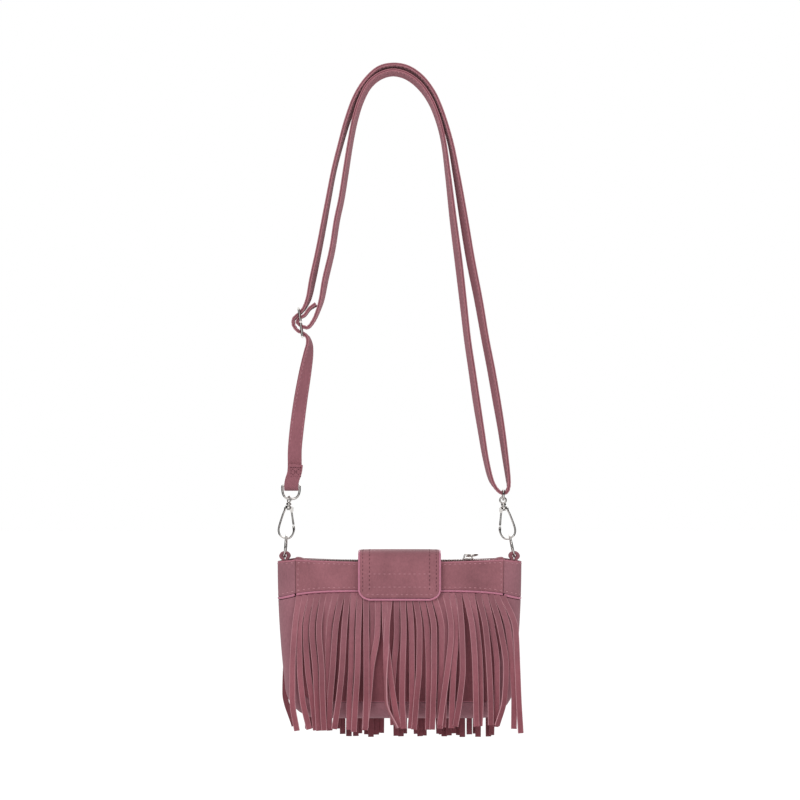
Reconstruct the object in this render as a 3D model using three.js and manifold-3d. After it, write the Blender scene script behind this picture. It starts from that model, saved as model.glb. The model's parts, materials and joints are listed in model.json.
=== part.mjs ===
// A small fringed suede shoulder bag, hanging by its strap.
// Millimetres, +X to the right, +Y away from the front, +Z up.
// The origin is the point where the strap hangs: the underside of its inner layer at the top.
import * as THREE from 'three';
import { mergeVertices } from 'three/addons/utils/BufferGeometryUtils.js';
import Module from 'manifold-3d';

const wasm = await Module();
wasm.setup();

// Shared clearances and thicknesses
const SEAM_GAP = 0.35;
const LEATHER = 2.0;

// Where the bag hangs under the strap
const STRAP_DROP = 419;
const BAG_SHIFT_X = 5.6;

// Bag body: depths t are measured down from the middle of the top edge
const PANEL_HALF_WIDTH = 89;
const PANEL_NARROWING = 8;
const PANEL_HEIGHT = 119;
const PANEL_CORNER = 14;
const GUSSET_BULGE = 15.5;
const HALF_DEPTH_TOP = 11.5;
const HALF_DEPTH_BASE = 18;
const DEPTH_REACHED_AT = 70;
const PANEL_BULGE = 5;
const BULGE_AT_TOP = 0.4;
const TOP_EDGE_RISE = 2.2;

// Lining: how far it stays inside the suede, and how far its sides reach round the ends
const LINING_WALL = 0.8;
const LINING_SLACK = 0.5;
const LINING_SIDE_REACH = 60;

// Yoke band and piping
const YOKE_HEIGHT = 22.9;
const YOKE_CORNER_DROP = 3.3;
const SIDE_YOKE_DROP = 3.8;
const PIPING_RADIUS = 1.25;
const PIPING_PROUD = 0.5;
const SIDE_PIPING_REACH = 78;
const FACE_COLUMNS = 8;

// Fringe
const FRINGE_HEADER = 6.5;
const FRINGE_STAND_OFF = 0.4;
const FRINGE_RAGGED = 2.5;
const FRINGE_THICKNESS = 1.2;
const FRINGE_LAYER = 1.7;
const STRIP_COUNT = 34;
const STRIP_SLIT = 0.5;
const STRIP_SECTIONS = 5;
const FRONT_FRINGE_END = 144;
const BACK_FRINGE_END = 149;
const FRINGE_FAN = 11;
const FRINGE_WAVE = 2.2;

// Closing tab
const TAB_WIDTH = 71;
const TAB_DROP = 32.4;
const TAB_RISE = 9.6;
const TAB_THICKNESS = 2.2;
const TAB_CORNER = 7;
const TAB_PIPING_RADIUS = 1.1;
const TAB_PIPING_TURN = { from: 15, to: 75 };
const TAB_ROOT_Y = 15.2;
const CLOSURE_TAPE = { width: 51, top: 10.6, height: 12.3, thickness: 1.0 };

// Zip
const ZIP_HALF_LENGTH = 78;
const ZIP_TAPE_OVERRUN = 6;
const ZIP_TAPE_THICKNESS = 0.7;
const ZIP_TAPE_TOP = -0.9;
const ZIP_TOOTH_PITCH = 7;
const ZIP_TOOTH_TIP = 0.6;
const ZIP_SPINE = 1.9;
const ZIP_SPINE_WIDTH = 1.4;
const ZIP_CHAIN_THICKNESS = 2.0;
const SLIDER_X = ZIP_HALF_LENGTH - 19.1;
const SLIDER = { length: 9.5, width: 8, plate: 1.1, post: 0.5, postLength: 3 };
const BAIL = { span: 7.6, height: 3.4, width: 1.2, wall: 0.9 };
const PULL = { radius: 4.7, wire: 0.7, turn: 48, lean: 12 };
const END_TAB = { length: 12, height: 4.2, width: 13 };

// Side tabs and the rings in them
const SIDE_TAB = { x: 98.5, width: 7.4, height: 8.7, halfSpread: 3.6, thickness: 2.6, root: 9 };
const SIDE_TAB_LEG_FLARE = 0.1;
const BAG_RING = { radius: 9.4, wire: 1.05, low: 4.0 };
const LEFT_RING_LEAN = 4;
const RIGHT_RING_LEAN = -12;

// Snap hooks, along their own axis from the middle of the swivel eye
const EYE = { radius: 2.6, wire: 0.8 };
const BARREL = { radius: 2.3, top: 2.6, bottom: 4.9 };
const SWIVEL_PIN = { radius: 0.8, headRadius: 1.5, headHeight: 0.9 };
const COLLAR = { radius: 3.1, height: 2.7, bore: 1.15 };
const HOOK_WIRE = 0.9;
const HOOK_BOTTOM = 33.6;
const GATE = { wire: 0.8, pivotU: 2.9, pivotW: 9.6, eye: 1.3, thickness: 1.7, tipU: 5.45, tipW: 21.7 };
const GATE_PIN_RADIUS = 0.5;
const PIN_PLAY = 0.12;
const CHEEK = 0.8;
const HOOK_LINK_CLEARANCE = 1.3;
const LEFT_HOOK_TILT = -4.3;
const RIGHT_HOOK_TILT = 7.5;
const RIGHT_HOOK_OFFSET = 1.7;
const LEFT_EYE_TURN = 60;

// Strap and its fittings
const STRAP_WIDTH = 12;
const STRAP_THICKNESS = 2.6;
const LOOP_CENTRE = { x: 3, z: -110 };
const RING_WIRE = 1.05;
const LEFT_STRAP_RING = { width: 15, barX: -87.7, barZ: -354.1 };
const RIGHT_STRAP_RING = { width: 15, barX: 94.7, barZ: -357.9 };
const SLIDE = {
  wire: 1.0,
  width: 15.2,
  lowBar: [-77.7, -226.4],
  midBar: [-79.2, -213.4],
  topBar: [-80.9, -202.0],
};

// The strap's middle line: x, y, z and how far its inner face turns to the front, in degrees
const STRAP_ROUTE = [
  [-83.4, -1.6, -335.6, 90],
  [-84.3, -1.6, -342.0, 90],
  [-86.8, -2.4, -349.6, 90],
  [-87.5, -2.9, -354.3, 90],
  [-87.5, 0.0, -357.2, 90],
  [-87.5, 2.9, -354.3, 90],
  [-86.8, 2.4, -349.6, 90],
  [-84.9, 1.6, -342.0, 90],
  [-84.5, 0.8, -323.4, 88],
  [-82.9, 0.2, -306.2, 80],
  [-79.5, 0.0, -280.4, 64],
  [-75.2, 0.0, -254.6, 48],
  [-72.6, 0.0, -239.1, 30],
  [-72.0, 0.0, -232.2, 16],
  [-73.4, 0.0, -226.6, 4],
  [-77.4, 0.0, -222.9, 0],
  [-82.0, 0.0, -220.7, 0],
  [-85.4, 0.0, -216.0, 0],
  [-85.2, 0.0, -210.6, 0],
  [-80.9, 0.0, -206.5, 0],
  [-77.0, 0.0, -202.4, 2],
  [-72.7, 0.0, -193.5, 10],
  [-69.2, 0.0, -177.2, 16],
  [-63.8, 0.0, -151.4, 13],
  [-58.9, 0.0, -125.6, 12],
  [-55.7, 0.0, -108.4, 10],
  [-50.7, 0.0, -82.6, 9],
  [-45.2, 0.0, -61.1, 10],
  [-39.0, 0.0, -39.6, 14],
  [-31.0, 0.0, -18.9, 15],
  [-21.5, 0.0, -4.7, 15],
  [-11.2, 0.0, 3.9, 15],
  [0.4, 0.0, 6.3, 15],
  [12.0, 0.0, 4.3, 15],
  [23.2, 0.0, -3.0, 15],
  [32.7, 0.0, -14.6, 14],
  [39.5, 0.0, -28.0, 12],
  [48.8, 0.0, -56.8, 12],
  [54.6, 0.0, -86.9, 18],
  [61.0, 0.0, -125.6, 25],
  [66.7, 0.0, -160.0, 26],
  [73.5, 0.0, -194.4, 24],
  [79.5, 0.0, -228.8, 21],
  [84.5, 0.0, -254.6, 22],
  [89.0, 0.0, -280.4, 22],
  [93.3, 0.0, -306.2, 18],
  [96.9, 0.0, -332.0, 13],
  [99.1, 0.0, -349.2, 6],
  [99.4, 0.0, -354.8, 0],
  [98.0, 0.0, -358.9, 0],
  [94.6, 0.0, -360.6, 0],
  [91.0, 0.0, -358.9, 0],
  [87.5, 0.0, -354.8, 2],
  [84.4, 0.0, -349.2, 8],
  [80.0, 0.0, -332.0, 12],
  [75.7, 0.0, -306.2, 16],
  [71.6, 0.0, -280.4, 19],
  [67.9, 0.0, -254.6, 18],
  [64.1, 0.0, -228.8, 17],
  [60.2, 0.0, -194.4, 19],
  [56.2, 0.0, -160.0, 21],
  [51.8, 0.0, -125.6, 18],
  [47.3, 0.0, -86.9, 12],
  [43.2, 0.0, -56.8, 9],
  [38.3, 0.0, -37.8, 10],
  [31.8, 0.0, -22.4, 12],
  [23.2, 0.0, -10.3, 15],
  [12.0, 0.0, -1.7, 15],
  [0.0, 0.0, 1.3, 15],
  [-11.2, 0.0, -1.7, 15],
  [-20.6, 0.0, -9.5, 15],
  [-27.5, 0.0, -22.4, 14],
  [-32.8, 0.0, -39.6, 13],
  [-37.0, 0.0, -61.1, 12],
  [-40.4, 0.0, -82.6, 13],
  [-44.5, 0.0, -108.4, 13],
  [-48.2, 0.0, -125.6, 13],
  [-52.3, 0.0, -151.4, 13],
  [-58.3, 0.0, -177.2, 14],
  [-61.5, 0.0, -194.4, 10],
  [-64.5, 0.0, -203.8, 5],
  [-68.4, 0.0, -212.4, 2],
  [-73.5, 0.0, -218.2, 0],
  [-78.9, 0.0, -216.5, 0],
  [-82.1, 0.0, -213.6, 0],
  [-80.9, 0.0, -210.4, 0],
  [-76.1, 0.0, -207.7, 0],
  [-71.8, 0.0, -202.1, 2],
  [-66.0, 0.0, -198.1, 6],
];

const suede = new THREE.Color(0x8e5560);
const gussetSuede = new THREE.Color(0x8b606a);
const pipingPink = new THREE.Color(0xba7083);
const fringeRed = new THREE.Color(0x7c4650);
const darkNickel = new THREE.Color(0x9c9a9a);

function cloth(color, roughness = 0.9) {
  return new THREE.MeshStandardMaterial({ color, roughness, metalness: 0 });
}

function metal(color = darkNickel, roughness = 0.22) {
  return new THREE.MeshStandardMaterial({ color, roughness, metalness: 1 });
}

// A named mesh of one closed body.
function part(name, geometry, material) {
  const mesh = new THREE.Mesh(geometry, material);
  mesh.name = name;
  return mesh;
}

function lerp(a, b, f) {
  return a + (b - a) * f;
}

function smooth(f) {
  const c = Math.min(Math.max(f, 0), 1);
  return c * c * (3 - 2 * c);
}

function radians(degrees) {
  return THREE.MathUtils.degToRad(degrees);
}

// Evenly spread values from a to b, both ends kept.
function spread(a, b, steps) {
  return Array.from({ length: steps + 1 }, (_, i) => lerp(a, b, i / steps));
}

// Turns a triangle list the right way out, by the sign of its volume.
function outward(points, triangles) {
  const cross = new THREE.Vector3();
  let volume = 0;
  for (const [a, b, c] of triangles) {
    volume += points[a].dot(cross.crossVectors(points[b], points[c]));
  }
  const index = volume < 0 ? triangles.map(([a, b, c]) => [a, c, b]) : triangles;
  const geometry = new THREE.BufferGeometry();
  geometry.setAttribute('position', new THREE.Float32BufferAttribute(points.flatMap((p) => p.toArray()), 3));
  geometry.setIndex(index.flat());
  geometry.computeVertexNormals();
  return geometry;
}

// Two triangles for each cell of a grid of point numbers.
function cells(number, rows, columns) {
  const list = [];
  for (let i = 0; i < rows; i += 1) {
    for (let j = 0; j < columns; j += 1) {
      const a = number(i, j);
      const b = number(i, j + 1);
      const c = number(i + 1, j + 1);
      const d = number(i + 1, j);
      list.push([a, b, c], [a, c, d]);
    }
  }
  return list;
}

// A sheet with thickness: the outer and inner faces are grids of the same size.
function sheet(outer, inner) {
  const rows = outer.length - 1;
  const columns = outer[0].length - 1;
  const points = [...outer.flat(), ...inner.flat()];
  const offset = (rows + 1) * (columns + 1);
  const out = (i, j) => i * (columns + 1) + j;
  const inn = (i, j) => offset + out(i, j);
  const triangles = cells(out, rows, columns);
  triangles.push(...cells(inn, rows, columns).map(([a, b, c]) => [a, c, b]));
  const wall = (a, b, c, d) => triangles.push([a, d, c], [a, c, b]);
  for (let j = 0; j < columns; j += 1) {
    wall(out(0, j), out(0, j + 1), inn(0, j + 1), inn(0, j));
    wall(out(rows, j + 1), out(rows, j), inn(rows, j), inn(rows, j + 1));
  }
  for (let i = 0; i < rows; i += 1) {
    wall(out(i + 1, 0), out(i, 0), inn(i, 0), inn(i + 1, 0));
    wall(out(i, columns), out(i + 1, columns), inn(i + 1, columns), inn(i, columns));
  }
  return outward(points, triangles);
}

// A closed tube or bar through rings of points, with flat ends.
function loft(rings) {
  const around = rings[0].length;
  const points = rings.flat();
  const number = (i, j) => i * around + (j % around);
  const triangles = cells(number, rings.length - 1, around);
  const last = (rings.length - 1) * around;
  for (let j = 1; j < around - 1; j += 1) {
    triangles.push([0, j + 1, j], [last, last + j, last + j + 1]);
  }
  return outward(points, triangles);
}

function asSolid(geometry) {
  const bare = geometry.clone();
  bare.deleteAttribute('normal');
  bare.deleteAttribute('uv');
  const merged = mergeVertices(bare, 1e-4);
  const mesh = new wasm.Mesh({
    numProp: 3,
    vertProperties: merged.attributes.position.array,
    triVerts: Uint32Array.from(merged.index.array),
  });
  return new wasm.Manifold(mesh);
}

function asGeometry(solid) {
  const mesh = solid.getMesh();
  const geometry = new THREE.BufferGeometry();
  geometry.setAttribute('position', new THREE.BufferAttribute(mesh.vertProperties, 3));
  geometry.setIndex(new THREE.BufferAttribute(mesh.triVerts, 1));
  geometry.computeVertexNormals();
  return geometry;
}

function join(geometries) {
  return asGeometry(geometries.map(asSolid).reduce((a, b) => a.add(b)));
}

function cut(geometry, tools) {
  return asGeometry(tools.map(asSolid).reduce((a, b) => a.subtract(b), asSolid(geometry)));
}

// A round bar along a curve, with flat ends.
function bar(curve, radius, steps, sides = 8) {
  const section = new THREE.Shape();
  section.absarc(0, 0, radius, 0, 2 * Math.PI, false);
  return new THREE.ExtrudeGeometry(section, {
    steps,
    curveSegments: sides / 2,
    extrudePath: curve,
    bevelEnabled: false,
  });
}

function smoothCurve(points) {
  return new THREE.CatmullRomCurve3(points.map((p) => new THREE.Vector3(...p)), false, 'centripetal');
}

// Bag surface

// Half width of the front panel at depth t, with its rounded lower corners.
function seamX(t) {
  const side = PANEL_HALF_WIDTH - PANEL_NARROWING * (t / PANEL_HEIGHT) ** 2;
  const into = t - (PANEL_HEIGHT - PANEL_CORNER);
  if (into <= 0) {
    return side;
  }
  return side - PANEL_CORNER + Math.sqrt(Math.max(PANEL_CORNER ** 2 - into ** 2, 0));
}

function halfDepth(t) {
  return lerp(HALF_DEPTH_TOP, HALF_DEPTH_BASE, smooth(t / DEPTH_REACHED_AT));
}

// Distance of the front or back face from the middle plane.
function faceY(x, t) {
  const full = lerp(BULGE_AT_TOP, 1, Math.min(t / (PANEL_HEIGHT / 2), 1));
  const closing = 1 - (t / PANEL_HEIGHT) ** 4;
  const across = Math.max(1 - (x / seamX(t)) ** 2, 0);
  return halfDepth(t) + PANEL_BULGE * full * closing * across;
}

// The top edge rises a little towards the side seams.
function topLift(x, t) {
  const fade = Math.max(1 - t / YOKE_HEIGHT, 0);
  return TOP_EDGE_RISE * fade * Math.min((x / PANEL_HALF_WIDTH) ** 2, 1);
}

// The seam under the yoke runs lower towards its ends.
function cornerDrop(x) {
  return YOKE_CORNER_DROP * Math.min(Math.abs(x) / PANEL_HALF_WIDTH, 1) ** 5;
}

// Patch of the front (side -1) or back (side 1) face. Each row has its depth in the middle
// and the share of the seam's drop that it follows.
function facePatch(side, rows, columns, offset, thickness, halfWidthAt) {
  const grid = (out) => rows.map(([depth, share]) => spread(-1, 1, columns).map((a) => {
    const x = a * halfWidthAt(depth + share * YOKE_CORNER_DROP);
    const t = depth + share * cornerDrop(x);
    return new THREE.Vector3(x, side * (faceY(x, t) + out), topLift(x, t) - t);
  }));
  return sheet(grid(offset), grid(offset - thickness));
}

// Side of the bag at depth t: angle runs from the front seam (-90) to the back seam (90).
function sidePoint(side, t, angle, inset) {
  const a = radians(angle);
  const x = seamX(t) + SEAM_GAP + (GUSSET_BULGE - inset) * Math.cos(a);
  const lift = topLift(PANEL_HALF_WIDTH, t) * (1 - Math.cos(a));
  return new THREE.Vector3(side * x, (halfDepth(t) - inset) * Math.sin(a), lift - t);
}

// How much lower the seam is at the bag's side than in the middle of its face.
function sideDrop(angle) {
  return YOKE_CORNER_DROP + SIDE_YOKE_DROP * Math.cos(radians(angle));
}

function sideYokeBottom(angle) {
  return YOKE_HEIGHT + sideDrop(angle);
}

// Depth of the seam line in the middle of the piping.
function seamDepth(drop) {
  return YOKE_HEIGHT + SEAM_GAP + PIPING_RADIUS + drop;
}

function panelTop(drop) {
  return seamDepth(drop) + PIPING_RADIUS + SEAM_GAP;
}

function facePanel(side) {
  const corner = PANEL_HEIGHT - PANEL_CORNER;
  const rows = spread(0, 1, 4).map((f) => [lerp(panelTop(0), corner, f), 1 - f]);
  const turns = spread(0, 90, 3).slice(1);
  rows.push(...turns.map((a) => [corner + PANEL_CORNER * Math.sin(radians(a)), 0]));
  return facePatch(side, rows, FACE_COLUMNS, 0, LEATHER, seamX);
}

function faceYoke(side) {
  const rows = spread(0, 1, 2).map((f) => [f * YOKE_HEIGHT, f]);
  return facePatch(side, rows, FACE_COLUMNS, 0, LEATHER, seamX);
}

function sideYoke(side) {
  const grid = (inset) => spread(0, 1, 2).map((f) => spread(-90, 90, 6)
    .map((a) => sidePoint(side, f * sideYokeBottom(a), a, inset)));
  return sheet(grid(0), grid(LEATHER));
}

// Stations along the U that the gusset follows: down one side, under the base and up the other.
function gussetStations() {
  const corner = PANEL_HEIGHT - PANEL_CORNER;
  const sideSteps = 4;
  const cornerSteps = 3;
  const half = [];
  for (const f of spread(0, 1, sideSteps)) {
    half.push({ fraction: f, turn: 0 });
  }
  for (const a of spread(0, 90, cornerSteps).slice(1)) {
    half.push({ fraction: 1, turn: a });
  }
  return half.map((s) => ({ ...s, corner }));
}

function gussetPoint(side, station, angle, inset) {
  const a = radians(angle);
  const top = panelTop(sideDrop(angle));
  const t = lerp(top, station.corner, station.fraction);
  if (station.turn === 0) {
    return sidePoint(side, t, angle, inset);
  }
  const turn = radians(station.turn);
  const reach = PANEL_CORNER + SEAM_GAP + (GUSSET_BULGE - inset) * Math.cos(a);
  const centreX = seamX(station.corner) - PANEL_CORNER;
  const x = centreX + reach * Math.cos(turn);
  const z = -(station.corner + reach * Math.sin(turn));
  return new THREE.Vector3(side * x, (halfDepth(t) - inset) * Math.sin(a), z);
}

function gussetStrip() {
  const stations = gussetStations();
  const baseSteps = 4;
  const grid = (inset) => {
    const row = (side, s) => spread(-90, 90, 6).map((a) => gussetPoint(side, s, a, inset));
    const left = stations.map((s) => row(-1, s));
    const right = stations.map((s) => row(1, s)).reverse();
    const from = left[left.length - 1];
    const to = right[0];
    const base = spread(0, 1, baseSteps).slice(1, -1)
      .map((f) => from.map((p, j) => p.clone().lerp(to[j], f)));
    return [...left, ...base, ...right];
  };
  return sheet(grid(0), grid(LEATHER));
}

// The lining is an open bag inside the panels.
function lining() {
  const slack = LEATHER + LINING_SLACK;
  const floorDepth = PANEL_HEIGHT - PANEL_CORNER;
  const depths = spread(SIDE_TAB.root + SEAM_GAP, floorDepth, 4);
  const ring = (t, inset) => {
    const face = (side) => spread(-side, side, 4).map((a) => {
      const x = a * (seamX(t) - inset);
      return new THREE.Vector3(x, side * (faceY(x, t) - inset), -t);
    });
    const edge = (side) => spread(-side * LINING_SIDE_REACH, side * LINING_SIDE_REACH, 2)
      .map((a) => sidePoint(side, t, a, inset).setZ(-t));
    return [...face(1).reverse(), ...edge(-1), ...face(-1).reverse(), ...edge(1)];
  };
  const outer = depths.map((t) => ring(t, slack));
  const inner = depths.map((t) => ring(t, slack + LINING_WALL));
  const lift = new THREE.Vector3(0, 0, LINING_WALL);
  inner[inner.length - 1].forEach((p) => p.add(lift));
  const around = outer[0].length;
  const points = [...outer.flat(), ...inner.flat()];
  const offset = outer.length * around;
  const out = (i, j) => i * around + (j % around);
  const inn = (i, j) => offset + out(i, j);
  const last = outer.length - 1;
  const triangles = cells(out, last, around);
  triangles.push(...cells(inn, last, around).map(([a, b, c]) => [a, c, b]));
  for (let j = 0; j < around; j += 1) {
    triangles.push([out(0, j), inn(0, j + 1), out(0, j + 1)], [out(0, j), inn(0, j), inn(0, j + 1)]);
  }
  for (let j = 1; j < around - 1; j += 1) {
    triangles.push([out(last, 0), out(last, j), out(last, j + 1)]);
    triangles.push([inn(last, 0), inn(last, j + 1), inn(last, j)]);
  }
  return outward(points, triangles);
}

// Piping beads
function facePiping(side) {
  const out = PIPING_PROUD - PIPING_RADIUS;
  const reach = seamX(seamDepth(YOKE_CORNER_DROP)) - PIPING_RADIUS;
  const points = spread(-reach, reach, 16).map((x) => {
    const t = seamDepth(cornerDrop(x));
    return [x, side * (faceY(x, t) + out), -t];
  });
  return bar(smoothCurve(points), PIPING_RADIUS, 12, 6);
}

function sidePiping(side) {
  const out = PIPING_RADIUS - PIPING_PROUD;
  const points = spread(-SIDE_PIPING_REACH, SIDE_PIPING_REACH, 8).map((a) => {
    const t = seamDepth(sideDrop(a));
    return sidePoint(side, t, a, out).toArray();
  });
  return bar(smoothCurve(points), PIPING_RADIUS, 8, 6);
}

// Fringe: one strip hangs from the header, leans with the fan and lies in one of two layers.
function stripRings(side, index, end) {
  const widest = panelTop(YOKE_CORNER_DROP) + FRINGE_HEADER;
  const pitch = (2 * seamX(widest) - SEAM_GAP) / STRIP_COUNT;
  const half = (pitch - STRIP_SLIT) / 2;
  const place = index - (STRIP_COUNT - 1) / 2;
  const x0 = place * pitch;
  const fan = FRINGE_FAN * (place / (STRIP_COUNT / 2)) ** 3;
  const wave = FRINGE_WAVE * Math.sin(index * 2.4 + side);
  const layer = index % 2;
  const top = panelTop(cornerDrop(x0)) + FRINGE_HEADER;
  const bottom = end + FRINGE_RAGGED * Math.sin(index * 1.7);
  let deepest = 0;
  return spread(0, 1, STRIP_SECTIONS - 1).map((f) => {
    const t = lerp(top, bottom, f);
    const x = x0 + (fan + wave) * f ** 1.4;
    const inPanel = Math.min(t, PANEL_HEIGHT - PANEL_CORNER);
    deepest = Math.max(deepest, faceY(Math.min(Math.abs(x), seamX(inPanel)), inPanel));
    const spreadOut = smooth(f * 8) * (layer * FRINGE_LAYER + FRINGE_STAND_OFF);
    const back = side * (deepest + SEAM_GAP + spreadOut);
    const front = back + side * FRINGE_THICKNESS;
    return [
      new THREE.Vector3(x - half, back, -t),
      new THREE.Vector3(x + half, back, -t),
      new THREE.Vector3(x + half, front, -t),
      new THREE.Vector3(x - half, front, -t),
    ];
  });
}

// The fringe is one cut sheet: a header with the strips as its teeth.
function fringe(side, end) {
  const strips = Array.from({ length: STRIP_COUNT }, (_, i) => stripRings(side, i, end));
  const points = [];
  const triangles = [];
  const add = (p) => points.push(p) - 1;
  const quad = (a, b, c, d) => triangles.push([a, b, c], [a, c, d]);
  const rings = strips.map((strip) => strip.map((ring) => ring.map(add)));
  for (const strip of rings) {
    for (let k = 0; k < strip.length - 1; k += 1) {
      const [lb, rb, rf, lf] = strip[k];
      const [lb2, rb2, rf2, lf2] = strip[k + 1];
      quad(lf, lf2, rf2, rf);
      quad(lb, rb, rb2, lb2);
      quad(lb, lb2, lf2, lf);
      quad(rf, rf2, rb2, rb);
    }
    const [lb, rb, rf, lf] = strip[strip.length - 1];
    quad(lf, lb, rb, rf);
  }
  const low = rings.flatMap(([[lb, rb, rf, lf]]) => [[lb, lf], [rb, rf]]);
  const raised = ({ x }, out) => {
    const t = panelTop(cornerDrop(x));
    return new THREE.Vector3(x, side * (faceY(x, t) + out), -t);
  };
  const top = low.map(([back, front]) => [
    add(raised(points[back], SEAM_GAP)),
    add(raised(points[front], SEAM_GAP + FRINGE_THICKNESS)),
  ]);
  for (let j = 0; j < low.length - 1; j += 1) {
    const [[tb, tf], [tb2, tf2]] = [top[j], top[j + 1]];
    const [[bb, bf], [bb2, bf2]] = [low[j], low[j + 1]];
    quad(tf, bf, bf2, tf2);
    quad(tb, tb2, bb2, bb);
    quad(tf, tf2, tb2, tb);
    if (j % 2 === 1) {
      quad(bf, bb, bb2, bf2);
    }
  }
  const [[tb, tf], [bb, bf]] = [top[0], low[0]];
  quad(tb, bb, bf, tf);
  const [[tbEnd, tfEnd], [bbEnd, bfEnd]] = [top[top.length - 1], low[low.length - 1]];
  quad(tfEnd, bfEnd, bbEnd, tbEnd);
  return outward(points, triangles);
}

// Closing tab

// The tab's middle line in the plane across the bag, from its sewn edge to its front end.
function tabCurve() {
  const lowFace = faceY(0, TAB_DROP) + SEAM_GAP + FRINGE_THICKNESS;
  const lowY = lowFace + SEAM_GAP + TAB_THICKNESS / 2;
  const stack = 2 * CLOSURE_TAPE.thickness + 3 * SEAM_GAP;
  const tapeY = faceY(0, CLOSURE_TAPE.top + CLOSURE_TAPE.height / 2) + stack + TAB_THICKNESS / 2;
  const crown = TAB_RISE - TAB_THICKNESS / 2;
  const end = TAB_DROP - TAB_PIPING_RADIUS * 2 - SEAM_GAP;
  return smoothCurve([
    [0, TAB_ROOT_Y, TAB_THICKNESS / 2 + SEAM_GAP],
    [0, TAB_ROOT_Y - 0.6, crown - 3.6],
    [0, TAB_ROOT_Y - 4.5, crown - 0.4],
    [0, 4, crown],
    [0, -4, crown],
    [0, -HALF_DEPTH_TOP, crown - 0.6],
    [0, -HALF_DEPTH_TOP - 4.6, crown - 3.6],
    [0, -tapeY + 0.9, -3],
    [0, -tapeY, -(CLOSURE_TAPE.top + CLOSURE_TAPE.height / 2)],
    [0, -lowY, -end],
  ]);
}

function tabFrames(steps) {
  const curve = tabCurve();
  return spread(0, 1, steps).map((u) => {
    const tangent = curve.getTangentAt(u);
    return {
      point: curve.getPointAt(u),
      out: new THREE.Vector3(0, tangent.z, -tangent.y),
      toEnd: curve.getLength() * (1 - u),
    };
  });
}

// How far the tab's side edge is drawn in, where its front corners are rounded.
function cornerInset(toEnd) {
  const into = Math.max(TAB_CORNER - toEnd, 0);
  return TAB_CORNER - Math.sqrt(TAB_CORNER ** 2 - into ** 2);
}

function closingTab() {
  const half = TAB_WIDTH / 2 - 2 * TAB_PIPING_RADIUS - SEAM_GAP;
  const frames = tabFrames(20);
  const grid = (shift) => frames.map(({ point, out, toEnd }) => spread(-1, 1, 2).map((a) => {
    const x = a * (half - cornerInset(toEnd));
    return point.clone().addScaledVector(out, shift).setX(x);
  }));
  return sheet(grid(TAB_THICKNESS / 2), grid(-TAB_THICKNESS / 2));
}

function tabPiping() {
  const half = TAB_WIDTH / 2 - TAB_PIPING_RADIUS;
  const curve = tabCurve();
  const length = curve.getLength();
  const side = (s) => spread(0.004, 1 - TAB_CORNER / length, 12)
    .map((u) => curve.getPointAt(u).setX(s * half).toArray());
  const reach = TAB_CORNER + TAB_PIPING_RADIUS + SEAM_GAP;
  const down = curve.getTangentAt(1);
  const turns = spread(TAB_PIPING_TURN.from, TAB_PIPING_TURN.to, 4);
  const corner = (s) => turns.map((a) => curve.getPointAt(1 - TAB_CORNER / length)
    .addScaledVector(down, reach * Math.sin(radians(a)))
    .setX(s * (half - reach * (1 - Math.cos(radians(a))))).toArray());
  const low = curve.getPointAt(1 - TAB_CORNER / length).addScaledVector(down, reach);
  const flat = spread(-1, 1, 4).map((a) => [a * (half - reach), low.y, low.z]);
  const points = [...side(-1), ...corner(-1), ...flat, ...corner(1).reverse(), ...side(1).reverse()];
  return bar(smoothCurve(points), TAB_PIPING_RADIUS, 30, 6);
}

function loopTape() {
  const { width, top, height, thickness } = CLOSURE_TAPE;
  const out = SEAM_GAP + thickness;
  return facePatch(-1, [[top, 0], [top + height, 0]], 6, out, thickness, () => width / 2);
}

// The hook tape lies flat against the inner face of the tab.
function hookTape() {
  const { width, top, height, thickness } = CLOSURE_TAPE;
  const covered = ({ point }) => point.y < 0 && point.z < -top && point.z > -top - height;
  const frames = tabFrames(200).filter(covered);
  const picked = [frames[0], frames[Math.floor(frames.length / 2)], frames[frames.length - 1]];
  const near = TAB_THICKNESS / 2 + SEAM_GAP;
  const grid = (shift) => picked.map(({ point, out }) => [-1, 1]
    .map((a) => point.clone().addScaledVector(out, -shift).setX(a * width / 2)));
  return sheet(grid(near), grid(near + thickness));
}

// Zip
function zipTape(side) {
  const reach = ZIP_HALF_LENGTH + ZIP_TAPE_OVERRUN;
  const inner = ZIP_TOOTH_TIP + 0.3;
  const grid = (z) => [0, 1].map((edge) => spread(-reach, reach, 12).map((x) => {
    const y = edge === 0 ? inner : faceY(x, 0) - LEATHER - SEAM_GAP;
    return new THREE.Vector3(x, side * y, z);
  }));
  return sheet(grid(ZIP_TAPE_TOP), grid(ZIP_TAPE_TOP - ZIP_TAPE_THICKNESS));
}

function chainBottom() {
  return ZIP_TAPE_TOP + SEAM_GAP;
}

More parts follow.
